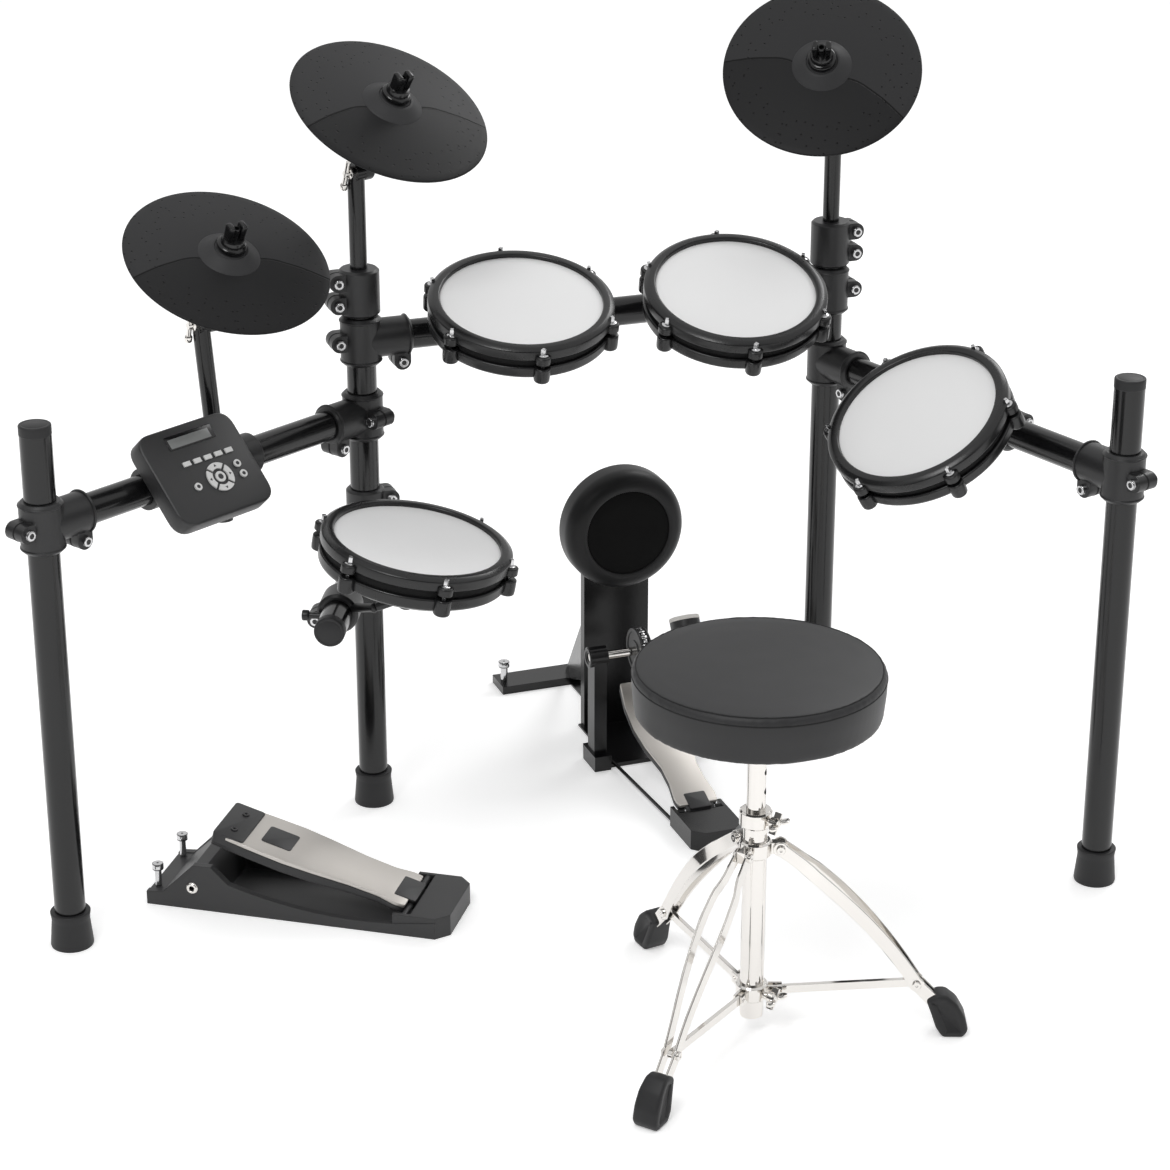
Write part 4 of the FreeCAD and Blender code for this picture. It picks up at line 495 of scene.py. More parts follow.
footCup = ([(0, 0.2), (24.4, 0.2)] + arc(24.4, 2.2, 2.0, -90, 8, 4) + [(23.5, 34), (23.5, 37)]
           + arc(22.9, 44.6, 1.9, 12, 90, 4) + [(19.15, 46.5), (19.15, 44)])
for name, post, body in (("left_rear", leftPost, "rack"), ("right_rear", rightPost, "rack"),
                         ("left_front", leftCorner, "left_wing"), ("right_front", rightCorner, "right_wing")):
    show(f"{name}_rubber_foot", lathe(footCup, 72), footRubber, Matrix.Translation(post), body)
capTop = ([(0, 12.5), (14.6, 12.5), (15.2, 12.15), (15.8, 12.5)] + arc(17.3, 10.6, 1.9, 85, 0, 4)
          + [(19.2, 0.6), (18.2, 0.2)])
frontCap = up * (rack["frontCap"] / 1000)
topCaps = (("left_front_cap", leftCorner + frontCap, up, "left_wing"),
           ("right_front_cap", rightCorner + frontCap, up, "right_wing"),
           ("snare_arm_end", snareRoot + snareWay * (rack["snareEnd"] / 1000), snareWay, "snare_arm"))
for name, place, way, body in topCaps:
    show(name, lathe(capTop, 64), footRubber, axesAt(place, up.cross(way) if way != up else across, way), body)

tBolt = lathe([(0, 0), (4.2, 0), (4.2, 15), (6.4, 16), (6.8, 17), (6.8, 23), (6, 24), (0, 24)], 24)
tBoltWay = up.cross(snareWay) if up.cross(snareWay).x < 0 else -up.cross(snareWay)
tBoltAt = snareRoot + (snareWay * rack["tBoltAlong"] + tBoltWay * rack["tBoltOut"]) / 1000
show("snare_arm_t_bolt", tBolt, nylon, axesAt(tBoltAt, up, tBoltWay), "snare_arm")

print("pads")
padSizes = {"lugCircle": 118, "lugs": 6, "clevis": 11.4}
hoopProfile = ([(108, -1.5), (102.8, -1.0)] + arc(105.2, 2.9, 2.4, 180, 90)
               + [(111.2, 5.3), (112.2, 5), (116.8, 2.2), (117.7, 1.3), (118, 0.2)] + arc(115.6, -8.8, 2.4, 0, -90)
               + [(110.6, -11.2), (110.6, -2)])
bowlProfile = ([(110.2, -2.8), (110.2, -22)] + arc(114.4, -24.6, 2.6, 90, 0) + [(117, -30)]
               + arc(110.5, -32, 6.5, 0, -68, 7) + [(101, -44.6), (92, -47.8), (60, -49.7), (0, -49.7)])
headProfile = [(0, 0.1), (60, 0.1), (100, 0.05), (104, -0.4), (107, -1.2)]
lugTop = [(0, -3.4)] + arc(7.8, -5.6, 2.2, 90, 0, 4) + [(10, -13), (9, -14.2), (0, -14.2)]
lugLow = [(0, -19.4)] + arc(8, -21.8, 2.4, 90, 0, 4) + [(10.4, -33)] + arc(7.4, -37.6, 2.7, 0, -80, 4) + [(0, -40.5)]
# Painted shadow: a near-black ring in the gap between hoop and bowl.
gapShadeProfile = [(109, -3), (111.6, -10.6), (111.6, -22.6), (109, -30)]  # dark, between hoop and bowl
washer = [(0, -3.4), (6.0, -3.4), (6.0, -2.2), (4.4, -1.6), (0, -1.6)]
keyHead = [(0, -1.8), (3.2, -1.8), (3.2, 5.6), (2.6, 6.4), (0, 6.4)]
shank = [(0, -14), (2.8, -14), (2.8, -19.8), (0, -19.8)]
for name, (middle, normal, *_) in pads.items():
    place = axesAt(middle, up.cross(normal), normal)
    hoopParts = [(lathe(hoopProfile, 128), here)]
    bowlParts = [(lathe(bowlProfile, 128), here)]
    boltParts = []
    for i in range(padSizes["lugs"]):
        lug = heading(30 + 60 * i) * padSizes["lugCircle"]
        turn = Matrix.Rotation(atan2(lug.y, lug.x), 4, "Z")
        hoopParts.append((lathe(lugTop, 28), at(lug.x, lug.y, 0)))
        hoopParts.append((roundedBox((13, 19, 9), 2.4), at(lug.x * 0.945, lug.y * 0.945, -8.8, turn)))
        bowlParts.append((lathe(lugLow, 28), at(lug.x, lug.y, 0)))
        bowlParts.append((roundedBox((14, 19.6, 17), 2.6), at(lug.x * 0.93, lug.y * 0.93, -30.4, turn)))
        boltParts += [(lathe(p, 20), at(lug.x, lug.y, 0)) for p in (washer, shank)]
        boltParts.append((lathe(keyHead, 4), at(lug.x, lug.y, 0, turn)))
    cheek = lathe([(0, -3), (12.2, -3), (13, -2.2), (13, 2.2), (12.2, 3), (0, 3)], 40)
    for s in (-1, 1):
        bowlParts.append((roundedBox((6, 26, 27), 1.2), at(s * padSizes["clevis"], 0, -62)))
        bowlParts.append((cheek, at(s * padSizes["clevis"], 0, -clamp["padKnuckle"], turnTo(across))))
    show(f"{name}_hoop_rim", joined(*hoopParts), hoopRubber, place, name, [f"{name}_hoop"])
    show(f"{name}_bowl", joined(*bowlParts), hoopRubber, place, name, [f"{name}_shell"])
    show(f"{name}_skin", lathe(headProfile, 128), headMesh, place, name, [f"{name}_head"], 60)
    show(f"{name}_tension_bolts", joined(*boltParts), zinc, place, name)
    # the ring of painted shadow between hoop and bowl
    show(f"{name}_gap_shade_ring", lathe(gapShadeProfile, 96), shadowGap, place, name)

print("cymbals")
# what each stands on, its way up and its height there, the pad's normal, the stem's side and the pad's turn
cymbals = {
    "hihat": (mastMiddle, mastWay, 162, Vector((0.143, -0.448, 0.882)), 1, -16),
    "crash": (leftPost, up, 870, Vector((0.21, -0.476, 0.854)), 1, -15),
    "ride": (rightPost, up, 892, Vector((-0.321, -0.623, 0.714)), -1, -18),
}
cymbalSizes = {"stem": 95, "offset": 14.4}
cymbalTop = [(7.5, 24.6), (18.6, 24.8), (19.6, 23.8), (20.6, 24.8), (22, 24.7), (24, 23.8), (30, 19.6), (35, 16.4),
             (37.4, 15.1), (38.2, 14.3), (60, 12.4), (90, 9.2), (118, 5.4)]
cymbalEdge = arc(125.4, 2.4, 2.0, 75, -90, 6)
cymbalUnder = [(118, 0.8), (90, 4.6), (60, 8.2), (36, 10.2), (28, 13.0), (20, 20.0), (15, 21.6), (7.5, 21.6)]
nutProfile = [(0, 27.2), (17.2, 27.2), (18.2, 28.2), (18.2, 31.4), (17.2, 32.6), (14.6, 33.4), (14.2, 39.8),
              (13, 41.2), (6, 42), (5.6, 55), (4.6, 56), (3.4, 56), (3.2, 49), (0, 49)]
feltUnder = [(0, 20.6), (9.4, 20.6), (10, 19.8), (10, 14), (9.4, 13.2), (0, 13.2)]
stemProfile = [(0, 30), (3.8, 30), (3.8, -46), (6, -48), (6, -88), (0, -88)]
for name, (foot, rise, height, normal, stemSide, turned) in cymbals.items():
    axis = up.cross(normal).normalized()
    middle = foot + rise * (height / 1000) + axis * (stemSide * cymbalSizes["offset"] / 1000)
    middle += normal.normalized() * (cymbalSizes["stem"] / 1000)
    place = axesAt(middle, axis, normal)
    turn = Matrix.Rotation(radians(turned), 4, "Z")
    show(f"{name}_pad", lathe(cymbalTop + cymbalEdge + cymbalUnder + [cymbalTop[0]], 160), cymbalField, place @ turn,
         f"{name}_cymbal", [f"{name}_cymbal"], 30)
    eye = lathe([(0, -7), (12.2, -7), (13, -6), (13, 6), (12.2, 7), (0, 7)], 48)
    wings = [(roundedBox((7.6, 14, 23), 2.6), at(s * 8, 0, 50, Matrix.Rotation(radians(s * 3), 4, "Y")))
             for s in (-1, 1)]
    show(f"{name}_stem", joined((lathe(feltUnder, 40), here), (lathe(stemProfile, 24), here),
                                (eye, at(0, 0, -cymbalSizes["stem"], turnTo(across)))),
         nylon, place, f"{name}_tilter", [f"{name}_tilter"])
    show(f"{name}_wing_nut", joined((lathe(nutProfile, 40), here), *wings), nylonGloss, place, f"{name}_tilter")
    out = -stemSide * across
    collar = lathe([(0, 0), (7, 0), (7.6, 0.8), (7.6, 4), (6, 5), (4.2, 5.4), (4.2, 11), (0, 11)], 28)
    handle = joined((collar, at(out.x * 21.6, 0, -cymbalSizes["stem"], turnTo(out))),
                    (bar([(out.x * 30, -4, -111), (out.x * 30, 4, -79)], 3.2), here),
                    (lathe([(0, -4), (4.2, -4), (4.9, -3), (4.9, 3), (4.2, 4), (0, 4)], 24),
                     at(out.x * 30, -4.4, -112.6, turnTo(Vector((0, 8, 32))))))
    show(f"{name}_tilter_bolt", handle, chrome, place, f"{name}_mast")

print("kick")
kickPad = {"x": 66, "y": 113, "z": 310}
kickPlace = axesAt(spot(*kickPad.values()), across, -away)
kickRim = ([(0, 0.6), (80, 0.6)] + arc(82, 4.6, 4, -90, 0, 5) + [(86, 22)] + arc(63, 24.4, 23, 0, 88, 16)
           + [(60.5, 46.4), (59.5, 44.5)])
show("kick_pad_rim", lathe(kickRim, 128), kickRubber, kickPlace, "rack", ["kick_pad"])
show("kick_pad_face", lathe([(60, 44.4), (58, 45.6), (40, 46.4), (0, 46.6)], 96), padFace, kickPlace, "rack")
pedal = {"x": 58, "axle": 163, "beaterAt": 80, "beaterBack": 58.5, "beaterReach": 136, "axleStart": -74, "axleEnd": 90,
         "camHalf": 8, "upright": 74}
lean = radians(pedal["beaterBack"])
beaterWay = Vector((0, -sin(lean), cos(lean)))
strikeWay = Vector((0, cos(lean), sin(lean)))
beaterRoot = spot(pedal["beaterAt"], 0, pedal["axle"])
beaterHead = axesAt(beaterRoot + beaterWay * (pedal["beaterReach"] / 1000), across, strikeWay)
beaterBody = [(0, -20.8), (14, -20.8), (17, -19), (19.4, -8), (20.2, 4), (20.2, 15), (0, 15)]
beaterFelt = [(0, 15)] + arc(19.4, 16.2, 1.2, -90, 0, 3) + arc(18.2, 18.6, 2.4, 0, 90, 5) + [(0, 21)]
show("kick_beater_body", lathe(beaterBody, 48), nylon, beaterHead, "kick_axle", ["kick_beater"])
show("kick_beater_felt", lathe(beaterFelt, 56), felt, beaterHead, "kick_axle")
rod = bar([(0, 0, 8), (0, 0, 118)], 3.8, 20)
show("kick_beater_rod", rod, chrome, axesAt(beaterRoot, across, beaterWay), "kick_axle")
axlePlace = axesAt(spot(pedal["x"], 0, pedal["axle"]), away, across)
low, high = pedal["axleStart"], pedal["axleEnd"]
axleBar = lathe([(0, low), (5.2, low), (6, low + 0.8), (6, high - 0.8), (5.2, high), (0, high)], 40)
show("kick_axle_bar", axleBar, chrome, axlePlace, "kick_axle", ["kick_axle"])
bossRing = [(6.4, -0.4), (14.3, -0.4), (14.3, 1.2), (13, 2.4), (9.4, 2.4), (8.6, 1.2), (6.4, 0.8)]
bosses = joined(*[(lathe(bossRing + bossRing[:1], 48), at(0, 0, s * pedal["upright"], turnTo(s * up)))
                  for s in (-1, 1)])
show("kick_frame_bosses", bosses, paintedSteel, axlePlace, "rack")
camHalf = pedal["camHalf"]
camSide = [(6.2, -camHalf), (14, -camHalf), (15, 1.5 - camHalf), (26, 1.5 - camHalf), (27, -camHalf), (31.4, -camHalf),
           (32, 0.6 - camHalf)]
camShape = camSide + [(32, -5), (28.6, -4.6)]
camProfile = camShape + [(r, -z) for r, z in reversed(camShape)]
hubProfile = [(6.2, -8), (11, -8), (12, -7), (12, 7), (11, 8), (6.2, 8)]
lever = roundedBox((34, 10, 6), 1.6)
hub = (lathe(hubProfile, 40), at(0, 0, pedal["beaterAt"] - pedal["x"]))
cam = joined((lathe(camProfile, 72), here), hub, (lever, at(-12, 0, high - 4)))
show("kick_cam", cam, nylon, axlePlace, "kick_axle")
chain = {"links": 17, "start": -4, "step": 11.5, "radius": 30.2}  # over the cam, far side to near side
links = []
for i in range(chain["links"]):
    turn = radians(chain["start"] + chain["step"] * i)
    link = roundedBox((2.6, 5.2, 8.2 if i % 2 else 5.2), 1.0, 2)
    links.append((link, at(chain["radius"] * cos(turn), chain["radius"] * sin(turn), 0,
                           Matrix.Rotation(turn, 4, "Z"))))
show("kick_chain", joined(*links), zinc, axlePlace, "kick_axle")


def floorSpike(x, y, base, top, radius):  # a knurled screw over the CAD screw
    knurl = [(0, base), (radius + 0.3, base), (radius + 0.3, top - 8), (radius + 2.2, top - 7.6),
             (radius + 3.3, top - 6.6), (radius + 3.3, top - 1), (radius + 2.4, top + 0.3), (1.6, top + 0.3),
             (1.4, top - 1), (0, top - 1)]
    return lathe(knurl, 22), at(x, y, 0)


floorBar = {"half": 109, "y": 288, "top": 12.2, "spikeTop": 42, "spikeRadius": 5}
spikes = [floorSpike(kickPad["x"] + s * floorBar["half"] + kit["x"], floorBar["y"] + kit["y"], floorBar["top"],
                     floorBar["spikeTop"], floorBar["spikeRadius"]) for s in (-1, 1)]
show("kick_floor_spikes", joined(*spikes), zinc, here, "rack")

print("footboards")


def rounded(outline, radius, count=4):  # the outline with its corners rounded off
    made = []
    for i, corner in enumerate(outline):
        c, p, n = Vector(corner), Vector(outline[i - 1]), Vector(outline[(i + 1) % len(outline)])
        start, end = c + (p - c).normalized() * radius, c + (n - c).normalized() * radius
        for k in range(count + 1):
            t = k / count
            made.append(tuple(start * (1 - t) ** 2 + c * (2 * t * (1 - t)) + end * t ** 2))
    return made


def pane(corners):
    x0, y0, x1, y1 = corners
    return [(x0, y0), (x1, y0), (x1, y1), (x0, y1)]


def footboard(name, b):
    sideWay = b["way"].cross(up)
    angle = radians(b["angle"])
    slope = b["way"] * cos(angle) + up * sin(angle)
    place = axesAt(b["pin"], sideWay, sideWay.cross(slope))
    halfLine = b["half"]
    outline = halfLine + [(-x, y) for x, y in reversed(halfLine)]
    board = slab(rounded(outline, 3), 3.6, 8.4, 1.0)
    length, toeHalf = halfLine[-1][1], halfLine[-1][0]
    skirt = slab(rounded([(x * 0.985, y + 0.5) for x, y in outline], 3), -3.4, 3.5, 1.0)
    for v in skirt[0]:  # deeper towards the toe, in full from 120 mm on
        v.z -= b["skirt"] / 1000 * min(1, max(0, v.y / 0.12)) if v.z < 0 else 0
    barrel = (lathe([(0, -20), (6.6, -20), (7.2, -19.4), (7.2, 19.4), (6.6, 20), (0, 20)], 32),
              at(0, 0, 0, turnTo(across)))
    show(f"{name}_plate", board, castSilver, place, name, [name])
    parts = [(skirt, here), barrel,
             (slab(rounded(pane(b["window"]), 4), 8.2, 9.0, 0.3), here)]
    if b["toe"]:
        toePlate = pane((-toeHalf - 1, length - b["toe"], toeHalf + 1, length + 1))
        parts.append((slab(rounded(toePlate, 5), -6, 9.8, 1.4), here))
    w = b["tongue"]
    parts.append((slab(rounded(pane((-w, -5, w, 24)), 2.5), 5, 9.2, 0.8), here))
    show(f"{name}_trim", joined(*parts), caseGrey, place, name)
    if b["toe"]:
        screw = [(0, 10), (1.4, 10), (1.6, 11.2), (3.6, 11.4), (4.6, 10.6), (4.8, 9.6), (0, 9.6)]
        heads = [(lathe(screw, 24), at(s * toeHalf * 0.5, length - b["toe"] / 2, 0)) for s in (-1, 1)]
        show(f"{name}_screws", joined(*heads), nylonGloss, place, name)
    rivet = lathe([(0, 0), (4.4, 0), (4.2, 1.4), (2, 2.0), (0, 2.0)], 24)
    ends = [(rivet, at(s * 20, 0, 0, turnTo(s * across))) for s in (-1, 1)]
    show(f"{name}_hinge_ends", joined(*ends), zinc, place, name)


# hinge and jack are measured along, up and out; spikes from the end and out
controller = {"heel": spot(-318.5, -358.2, 0), "way": heading(145.6), "length": 395, "hinge": (58, 23),
              "spike": (10, 42), "jack": (333, 30, 59)}
hingeAlong, hingeUp = controller["hinge"]
controllerPin = controller["heel"] + (controller["way"] * hingeAlong + up * hingeUp) / 1000
boards = {
    "kick_footboard": {
        "pin": spot(58, -222, 24), "way": away, "angle": 19, "toe": 0, "skirt": 2,
        "window": (-16, 150, 16, 190), "tongue": 15,
        "half": [(27, 4), (29, 20), (25, 50), (25, 80), (33, 122), (36, 160), (33, 205), (25, 248)]},
    "hihat_footboard": {
        "pin": controllerPin, "way": controller["way"], "angle": 16, "toe": 40, "skirt": 6,
        "window": (-20, 166, 20, 206), "tongue": 24,
        "half": [(40, 4), (41, 18), (36, 40), (37, 80), (43, 130), (46, 168), (45, 210), (42, 262)]},
}
for name, values in boards.items():
    footboard(name, values)
sideWay = controller["way"].cross(up)
controllerPlace = axesAt(controller["heel"], controller["way"], up)
spikes = [floorSpike(controller["length"] - controller["spike"][0], s * controller["spike"][1], 20.2, 50, 4)
          for s in (-1, 1)]
show("controller_floor_spikes", joined(*spikes), zinc, controllerPlace, "rack")
jackRing = [(3.3, -4), (3.3, 2.2), (3.9, 2.7), (6.2, 2.7), (7.6, 1.6), (8.2, 0), (8.2, -0.9), (3.3, -0.9)]
jackAlong, jackUp, jackOut = (v / 1000 for v in controller["jack"])
jackPlace = axesAt(controller["heel"] + controller["way"] * jackAlong + up * jackUp - sideWay * jackOut, up, -sideWay)
show("controller_jack_ring", lathe(jackRing, 48), chrome, jackPlace, "rack")

print("module")
module = {"lean": 43, "along": 311, "reach": 52, "rise": -13, "bezel": (-36, 30.4, 37.4, 49),
          "lcd": (-32.5, 32.4, 31, 44.6), "shell": (-74, -66, 73, 60), "grip": (13, -52), "gripSide": 50,
          "ring": (10.5, -19.4), "ringReach": 15}
# the shell goes a few millimetres past its solid, as in the photograph; the grip is the side tube's line
moduleLean = radians(module["lean"])
moduleOut = up.cross(leftWay)
moduleNormal = moduleOut * cos(moduleLean) + up * sin(moduleLean)
moduleRise = up * cos(moduleLean) - moduleOut * sin(moduleLean)
moduleShift = leftWay * module["along"] + moduleNormal * module["reach"] + moduleRise * module["rise"]
moduleFace = leftPost + side + moduleShift / 1000
modulePlace = axesAt(moduleFace, -leftWay, moduleNormal)

gripAt, gripSide, (ringX, ringY) = module["grip"], module["gripSide"], module["ring"]
shellParts = [(slab(rounded(pane(module["shell"]), 22, 8), -26, 0, 3.0), here)]
sleeve = lathe([(19.2, -9), (25, -9), (26, -8), (26, 8), (25, 9), (19.2, 9), (19.2, -9)], 56)
for s in (-1, 1):
    shellParts.append((sleeve, at(s * gripSide, *gripAt, turnTo(across))))
    shellParts.append((roundedBox((14, 41.6, 28), 2), at(s * gripSide, gripAt[0], -38)))
show("module_shell", joined(*shellParts), caseGrey, modulePlace, "module", ["module_case"], 30)
show("module_bezel", slab(rounded(pane(module["bezel"]), 2), 0.05, 0.6, 0.2), bezelBlack, modulePlace, "module")
show("module_lcd", slab(pane(module["lcd"]), 0.4, 0.8, 0.1), display, modulePlace, "module")
dots = [((-26.7, -22.3), 2.4), ((43.6, -10.4), 2.4), ((44.3, -25.0), 2.4), ((ringX, ringY), 3.6)]
marks = [(lathe([(0, 1.9), (r, 1.9), (r, 2.15), (0, 2.15)], 28), at(x, y, 0)) for (x, y), r in dots]
for i in range(4):
    a = radians(90 * i)
    marks.append((lathe([(0, 1.9), (2.2, 1.9), (2.2, 2.15), (0, 2.15)], 3),
                  at(ringX + module["ringReach"] * cos(a), ringY + module["ringReach"] * sin(a), 0,
                     Matrix.Rotation(a, 4, "Z"))))
show("module_key_marks", joined(*marks), keyInk, modulePlace, "ring_keys")
bracketBolt = lathe([(0, 0), (6.4, 0), (6.4, 4.4), (5.6, 5.2), (0, 5.2)], 6)
bolts = [(bracketBolt, at(s * gripSide, -19, -44, turnTo(-away))) for s in (-1, 1)]
show("module_bracket_bolts", joined(*bolts), zinc, modulePlace, "module")

print("throne")
throne = spot(-82, -729, 0)
seat = {"base": 407.5, "voxel": 5, "pressure": 4.0, "cap": 4, "frames": 20, "radius": 146.0, "top": 475.8,
        "fill": 0.9, "topSeam": 137.5, "sideSeam": 455.5, "seamThick": 1.0, "seamSink": 0.3, "ironing": 10}
seatProfile = ([(0, 407.6), (90, 407.6), (131, 407.8)] + arc(135, 412.4, 4.4, -80, -8, 4)
               + [(140.6, 426), (142.2, 442), (142.2, 454)] + arc(136.6, 459.6, 5.6, 8, 76, 6)
               + [(120, 467.6), (90, 469.8), (55, 471.3), (25, 472.2), (0, 472.4)])


# an even mesh, blown up between its seams as a stuffed cover is, then held to the cushion's size
def swell(piece, sizes):
    scene = bpy.context.scene
    even = piece.modifiers.new("even", "REMESH")
    even.mode = "VOXEL"
    even.voxel_size = sizes["voxel"] / 1000
    graph = bpy.context.evaluated_depsgraph_get()
    piece.data = bpy.data.meshes.new_from_object(piece.evaluated_get(graph))
    piece.modifiers.clear()
    start = [v.co.copy() for v in piece.data.vertices]
    held = []
    for i, p in enumerate(start):
        reach, level = hypot(p.x, p.y) * 1000, p.z * 1000
        onRim = level > sizes["sideSeam"] - 3 and reach > sizes["topSeam"] - 3
        if onRim or level < sizes["base"] + 6:
            held.append(i)
    piece.vertex_groups.new(name="seams").add(held, 1.0, "REPLACE")
    air = piece.modifiers.new("air", "CLOTH")
    air.settings.vertex_group_mass = "seams"
    air.settings.use_pressure = True
    air.settings.uniform_pressure_force = sizes["pressure"]
    air.settings.effector_weights.gravity = 0
    for step in range(1, sizes["frames"] + 1):
        scene.frame_set(step)
    blown = bpy.data.meshes.new_from_object(piece.evaluated_get(bpy.context.evaluated_depsgraph_get()))
    piece.modifiers.clear()
    scene.frame_set(1)
    moves = [b.co - a for a, b in zip(start, blown.vertices)]
    beside = [[] for _ in start]
    for edge in piece.data.edges:
        i, j = edge.vertices
        beside[i].append(j)
        beside[j].append(i)
    for _ in range(sizes["ironing"]):  # a taut cover has no wrinkles
        moves = [(m + sum((moves[j] for j in near), Vector())) / (1 + len(near)) for m, near in zip(moves, beside)]
    for v, a, m in zip(piece.data.vertices, start, moves):
        moved = a + m * min(1, sizes["cap"] / 1000 / max(m.length, 1e-9))
        shrink = min(1, sizes["radius"] / 1000 / max(hypot(moved.x, moved.y), 1e-9))
        level = min(max(moved.z, sizes["base"] / 1000), sizes["top"] / 1000)
        v.co = (moved.x * shrink, moved.y * shrink, level)
    bpy.data.meshes.remove(blown)


cushion = addMesh("seat_cushion_cover", *lathe(seatProfile, 160), vinyl, 60)
cushion.matrix_world = Matrix.Translation(throne)
swell(cushion, seat)
cushion.data.materials.clear()
cushion.data.materials.append(vinyl)
cushion.data.materials.append(vinylShadedSide)
# Faces below the side seam take the darker copy: painted shade on the side band.
for face in cushion.data.polygons:
    face.material_index = 1 if face.center.z < seat["sideSeam"] / 1000 else 0
cushion.data.shade_smooth()
cushion.modifiers.new("finer", "SUBSURF").render_levels = 1
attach(cushion, "seat")
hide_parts("seat_cushion")
cover = BVHTree.FromPolygons([v.co for v in cushion.data.vertices], [list(f.vertices) for f in cushion.data.polygons])


def seam(start, way, count=180, sides=8):  # a cord sunk in the cover where rays meet it all round
    rings = []
    for i in range(count):
        turn = Matrix.Rotation(2 * pi * i / count, 3, "Z")
        ray = turn @ Vector(way)
        hit = cover.ray_cast(turn @ (Vector(start) / 1000), ray)[0] + ray * (seat["seamSink"] / 1000)
        for k in range(sides):
            a = 2 * pi * k / sides
            rings.append(hit + turn @ Vector((cos(a), 0, sin(a))) * (seat["seamThick"] / 1000))
    return rings, walls(count, sides, True)


# the seams' cords carry the painted shadow of their grooves
seams = joined((seam((seat["topSeam"], 0, 600), (0, 0, -1)), here),
               (seam((300, 0, seat["sideSeam"]), (-1, 0, 0)), here))
show("seat_seams", seams, seamShadow, Matrix.Translation(throne), "seat")

leg = {"angles": (-21, 99, 219), "pivot": (29, 240), "joint": (190, 66), "foot": (226, 28), "sag": 12, "depth": 16,
       "thick": 3, "bow": ((0.0, 7), (0.12, 8.5), (0.24, 14), (0.36, 15), (1.0, 7)), "bootHalf": 15.5,
       "bulge": (0.734, 0.679), "slim": (0.28, 145, 60)}
# the top stays under the path of the brace's end, which passes about 1 mm above it midway through the fold
bootOutline = [(202, 46), (208, 30), (214, 12), (222, 0), (246.5, 0), (252, 9), (248, 25), (238, 43), (225, 54),
               (214.5, 54.2)]


def legPath(side):  # the strap's line in the leg's own plane, bowed out from its mate below the pivot
    (x0, y0), (x1, y1) = leg["pivot"], leg["joint"]
    path = []
    for i in range(25):
        t = i / 24
        lift = leg["sag"] * 4 * t * (1 - t)
        share = next(k for k in range(len(leg["bow"]) - 1) if t <= leg["bow"][k + 1][0])
        (t0, w0), (t1, w1) = leg["bow"][share], leg["bow"][share + 1]
        s = (t - t0) / (t1 - t0)
        width = w0 + (w1 - w0) * s * s * (3 - 2 * s)
        x, y = x0 + (x1 - x0) * t, y0 + (y1 - y0) * t
        path.append((x + leg["bulge"][0] * lift, y + leg["bulge"][1] * lift, side * width))
    return path + [(leg["foot"][0], leg["foot"][1], side * 6)]


slim, slimFrom, slimOver = leg["slim"]
strapEye = [(0, -1.5), (8.4, -1.5), (9, -0.9), (9, 0.9), (8.4, 1.5), (0, 1.5)]
rivet = [(0, -2.4), (4.6, -2.4), (5.4, -1.4), (5.4, 1.4), (4.6, 2.4), (1.6, 2.4), (1.2, 1.6), (0, 1.6)]
for i, angle in enumerate(leg["angles"], start=1):
    way = heading(angle)
    place = axesAt(throne, way, way.cross(up))
    straps = []
    for s in (-1, 1):
        straps.append((strap(legPath(s), leg["depth"], leg["thick"]), here))
        flip = Matrix.Rotation(0 if s > 0 else pi, 4, "X")
        for x, y in (leg["pivot"], leg["joint"]):
            straps.append((lathe(strapEye, 36), at(x, y, s * 7)))
            straps.append((lathe(rivet, 24), at(x, y, s * 9, flip)))
    show(f"leg_{i}_straps", joined(*straps), chrome, place, f"leg_{i}", [f"leg_{i}"], 30)
    boot = slab(rounded(bootOutline, 4), -leg["bootHalf"], leg["bootHalf"], 4.0, recess=(4, 1.6))
    for v in boot[0]:  # slimmer where the straps enter
        v.z *= 1 - slim + slim * min(1, max(0, (v.x - v.y - slimFrom / 1000) / (slimOver / 1000)))
    show(f"leg_{i}_boot", boot, footRubber, place, f"leg_{i}", (), 50)
wingAt = {"tripod": (14, 278), "brace_collar": (17, 53)}
for body, (reach, level) in wingAt.items():
    way = heading(-60)
    place = axesAt(throne + way * ((reach + 14) / 1000) + up * (level / 1000), up, way)
    hub = lathe([(0, -6), (6.4, -6), (7, -5), (7, 1), (5.2, 4), (0, 4.6)], 28)
    wings = []
    for s in (-1, 1):
        loop = [(s * 10.5 + x, z) for x, z in arc(0, 3.4, 7.4, 0, 345, 23)]
        flat = [(x, 3.4 + (z - 3.4) * 0.68 + abs(x) * 0.12) for x, z in loop]
        wings.append((slab(flat, -1.7, 1.7, 0.6), axesAt(Vector((0, 0, 0)), away, across)))
    show(f"{body}_wing_nut", joined((hub, here), *wings), chrome, place, body, (), 30)
# Painted shadow: near-black plugs in the seat post's holes.
postHoles = {"count": 3, "first": 312, "every": 24, "half": 9.8, "radius": 4.1, "facing": -40}
half, radius = postHoles["half"], postHoles["radius"]
holeShadow = lathe([(0, -half), (radius, -half), (radius, half), (0, half)], 28)
holeShadows = [(holeShadow, at(0, 0, postHoles["first"] + postHoles["every"] * i, turnTo(heading(postHoles["facing"]))))
         for i in range(postHoles["count"])]
show("seat_post_hole_shadows", joined(*holeShadows), shadowGap, Matrix.Translation(throne), "seat_post")

print("stage")
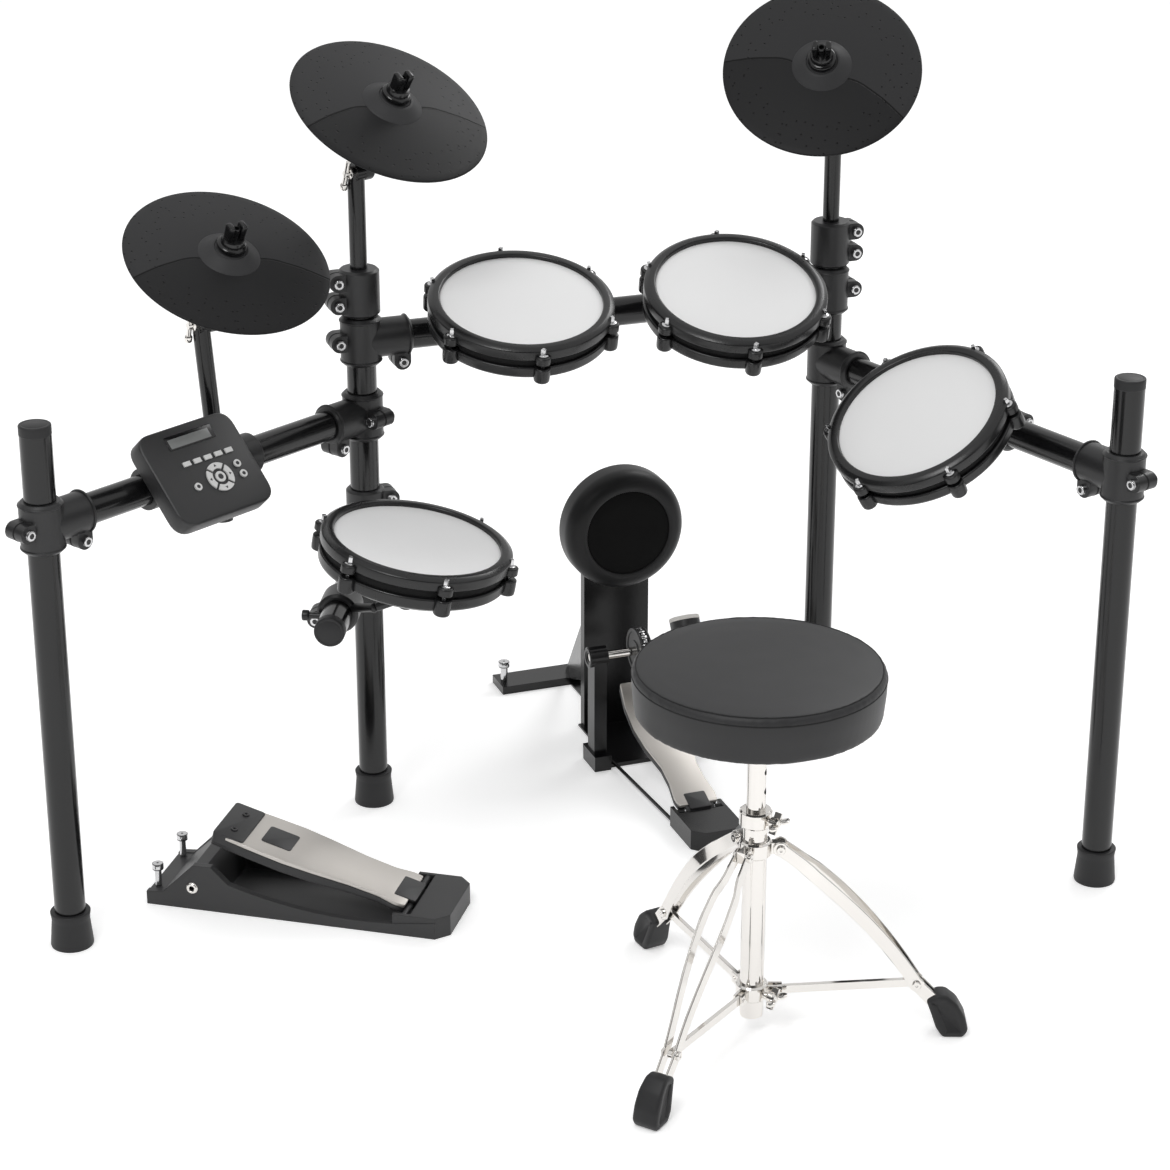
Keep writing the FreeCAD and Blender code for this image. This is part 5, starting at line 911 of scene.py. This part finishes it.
# a pale tent with a dark opening where the lens stands, two black cards, and a floor lifted to white
studio = {"level": 0.8, "darkSide": 0.9, "from": 0.45, "to": 0.85,
          "cards": ((-0.9, 0.33, 0.28), (0.94, -0.34, 0.05)), "cardFrom": 0.9, "cardTo": 0.95, "cardLeft": 0.15,
          "floorHalf": 16.0, "floorLift": 0.32}
floorPaper = surface("palePaper", "#ffffff", 0.9)
paper = floorPaper.node_tree
rays = addNode(paper, "LightPath")
seen = addNode(paper, "Math", {"operation": "MAXIMUM"},
               {0: rays.outputs["Is Camera Ray"], 1: rays.outputs["Is Glossy Ray"]})
lift = addNode(paper, "Math", {"operation": "MULTIPLY", 1: studio["floorLift"]}, {0: seen})
paper.nodes["Principled BSDF"].inputs["Emission Color"].default_value = (1, 1, 1, 1)
paper.links.new(lift.outputs[0], paper.nodes["Principled BSDF"].inputs["Emission Strength"])
half = studio["floorHalf"]
floorCorners = [(x, y, 0) for x, y in pane((-half, -half, half, half))]
floor = addMesh("floor", floorCorners, [(0, 1, 2, 3)], floorPaper)
world = bpy.data.worlds.new("studio")
bpy.context.scene.world = world
world.use_nodes = True
sky = world.node_tree
rays = addNode(sky, "LightPath")
way = addNode(sky, "TexCoord").outputs["Generated"]
facing = addNode(sky, "VectorMath", {"operation": "DOT_PRODUCT", 1: tuple(drummerSide)}, {0: way})
tent = addNode(sky, "MapRange", {"interpolation_type": "SMOOTHSTEP", "From Min": studio["from"],
                                 "From Max": studio["to"], "To Min": studio["level"],
                                 "To Max": studio["level"] * (1 - studio["darkSide"])},
               {"Value": facing.outputs["Value"]})
for card in studio["cards"]:
    facing = addNode(sky, "VectorMath", {"operation": "DOT_PRODUCT", 1: tuple(Vector(card).normalized())}, {0: way})
    left = addNode(sky, "MapRange", {"interpolation_type": "SMOOTHSTEP", "From Min": studio["cardFrom"],
                                     "From Max": studio["cardTo"], "To Min": 1.0, "To Max": studio["cardLeft"]},
                   {"Value": facing.outputs["Value"]})
    tent = addNode(sky, "Math", {"operation": "MULTIPLY"}, {0: tent, 1: left})
shown = addNode(sky, "Math", {"operation": "MAXIMUM"}, {0: tent, 1: rays.outputs["Is Camera Ray"]})
sky.nodes["Background"].inputs["Color"].default_value = (1, 1, 1, 1)
sky.links.new(shown.outputs[0], sky.nodes["Background"].inputs["Strength"])
lights = {  # place, aim and size in metres, power in watts
    "key": ((-2.0, -2.2, 3.8), (0, 0, 0.4), 1.6, 60),
    "rim": ((2.6, 1.8, 3.0), (0, 0, 0.5), 1.4, 30),
}
for name, (where, aim, size, power) in lights.items():
    data = bpy.data.lights.new(name, "AREA")
    data.size = size
    data.energy = power
    lamp = bpy.data.objects.new(name, data)
    lamp.matrix_world = axesAt(Vector(where), across, Vector(where) - Vector(aim))
    bpy.context.scene.collection.objects.link(lamp)
camera = {"at": (-1307.3, -3521.1, 1815.6), "azimuth": -20.053, "elevation": 22.393, "lens": 92.3}
eye = bpy.data.cameras.new("photo")
eye.lens = camera["lens"]
eye.clip_end = 100
shot = bpy.data.objects.new("photo", eye)
shot.location = spot(*camera["at"])
shot.rotation_euler = (radians(90 - camera["elevation"]), 0, radians(camera["azimuth"]))
bpy.context.scene.collection.objects.link(shot)
bpy.context.scene.camera = shot
bpy.context.scene.view_settings.view_transform = "Standard"
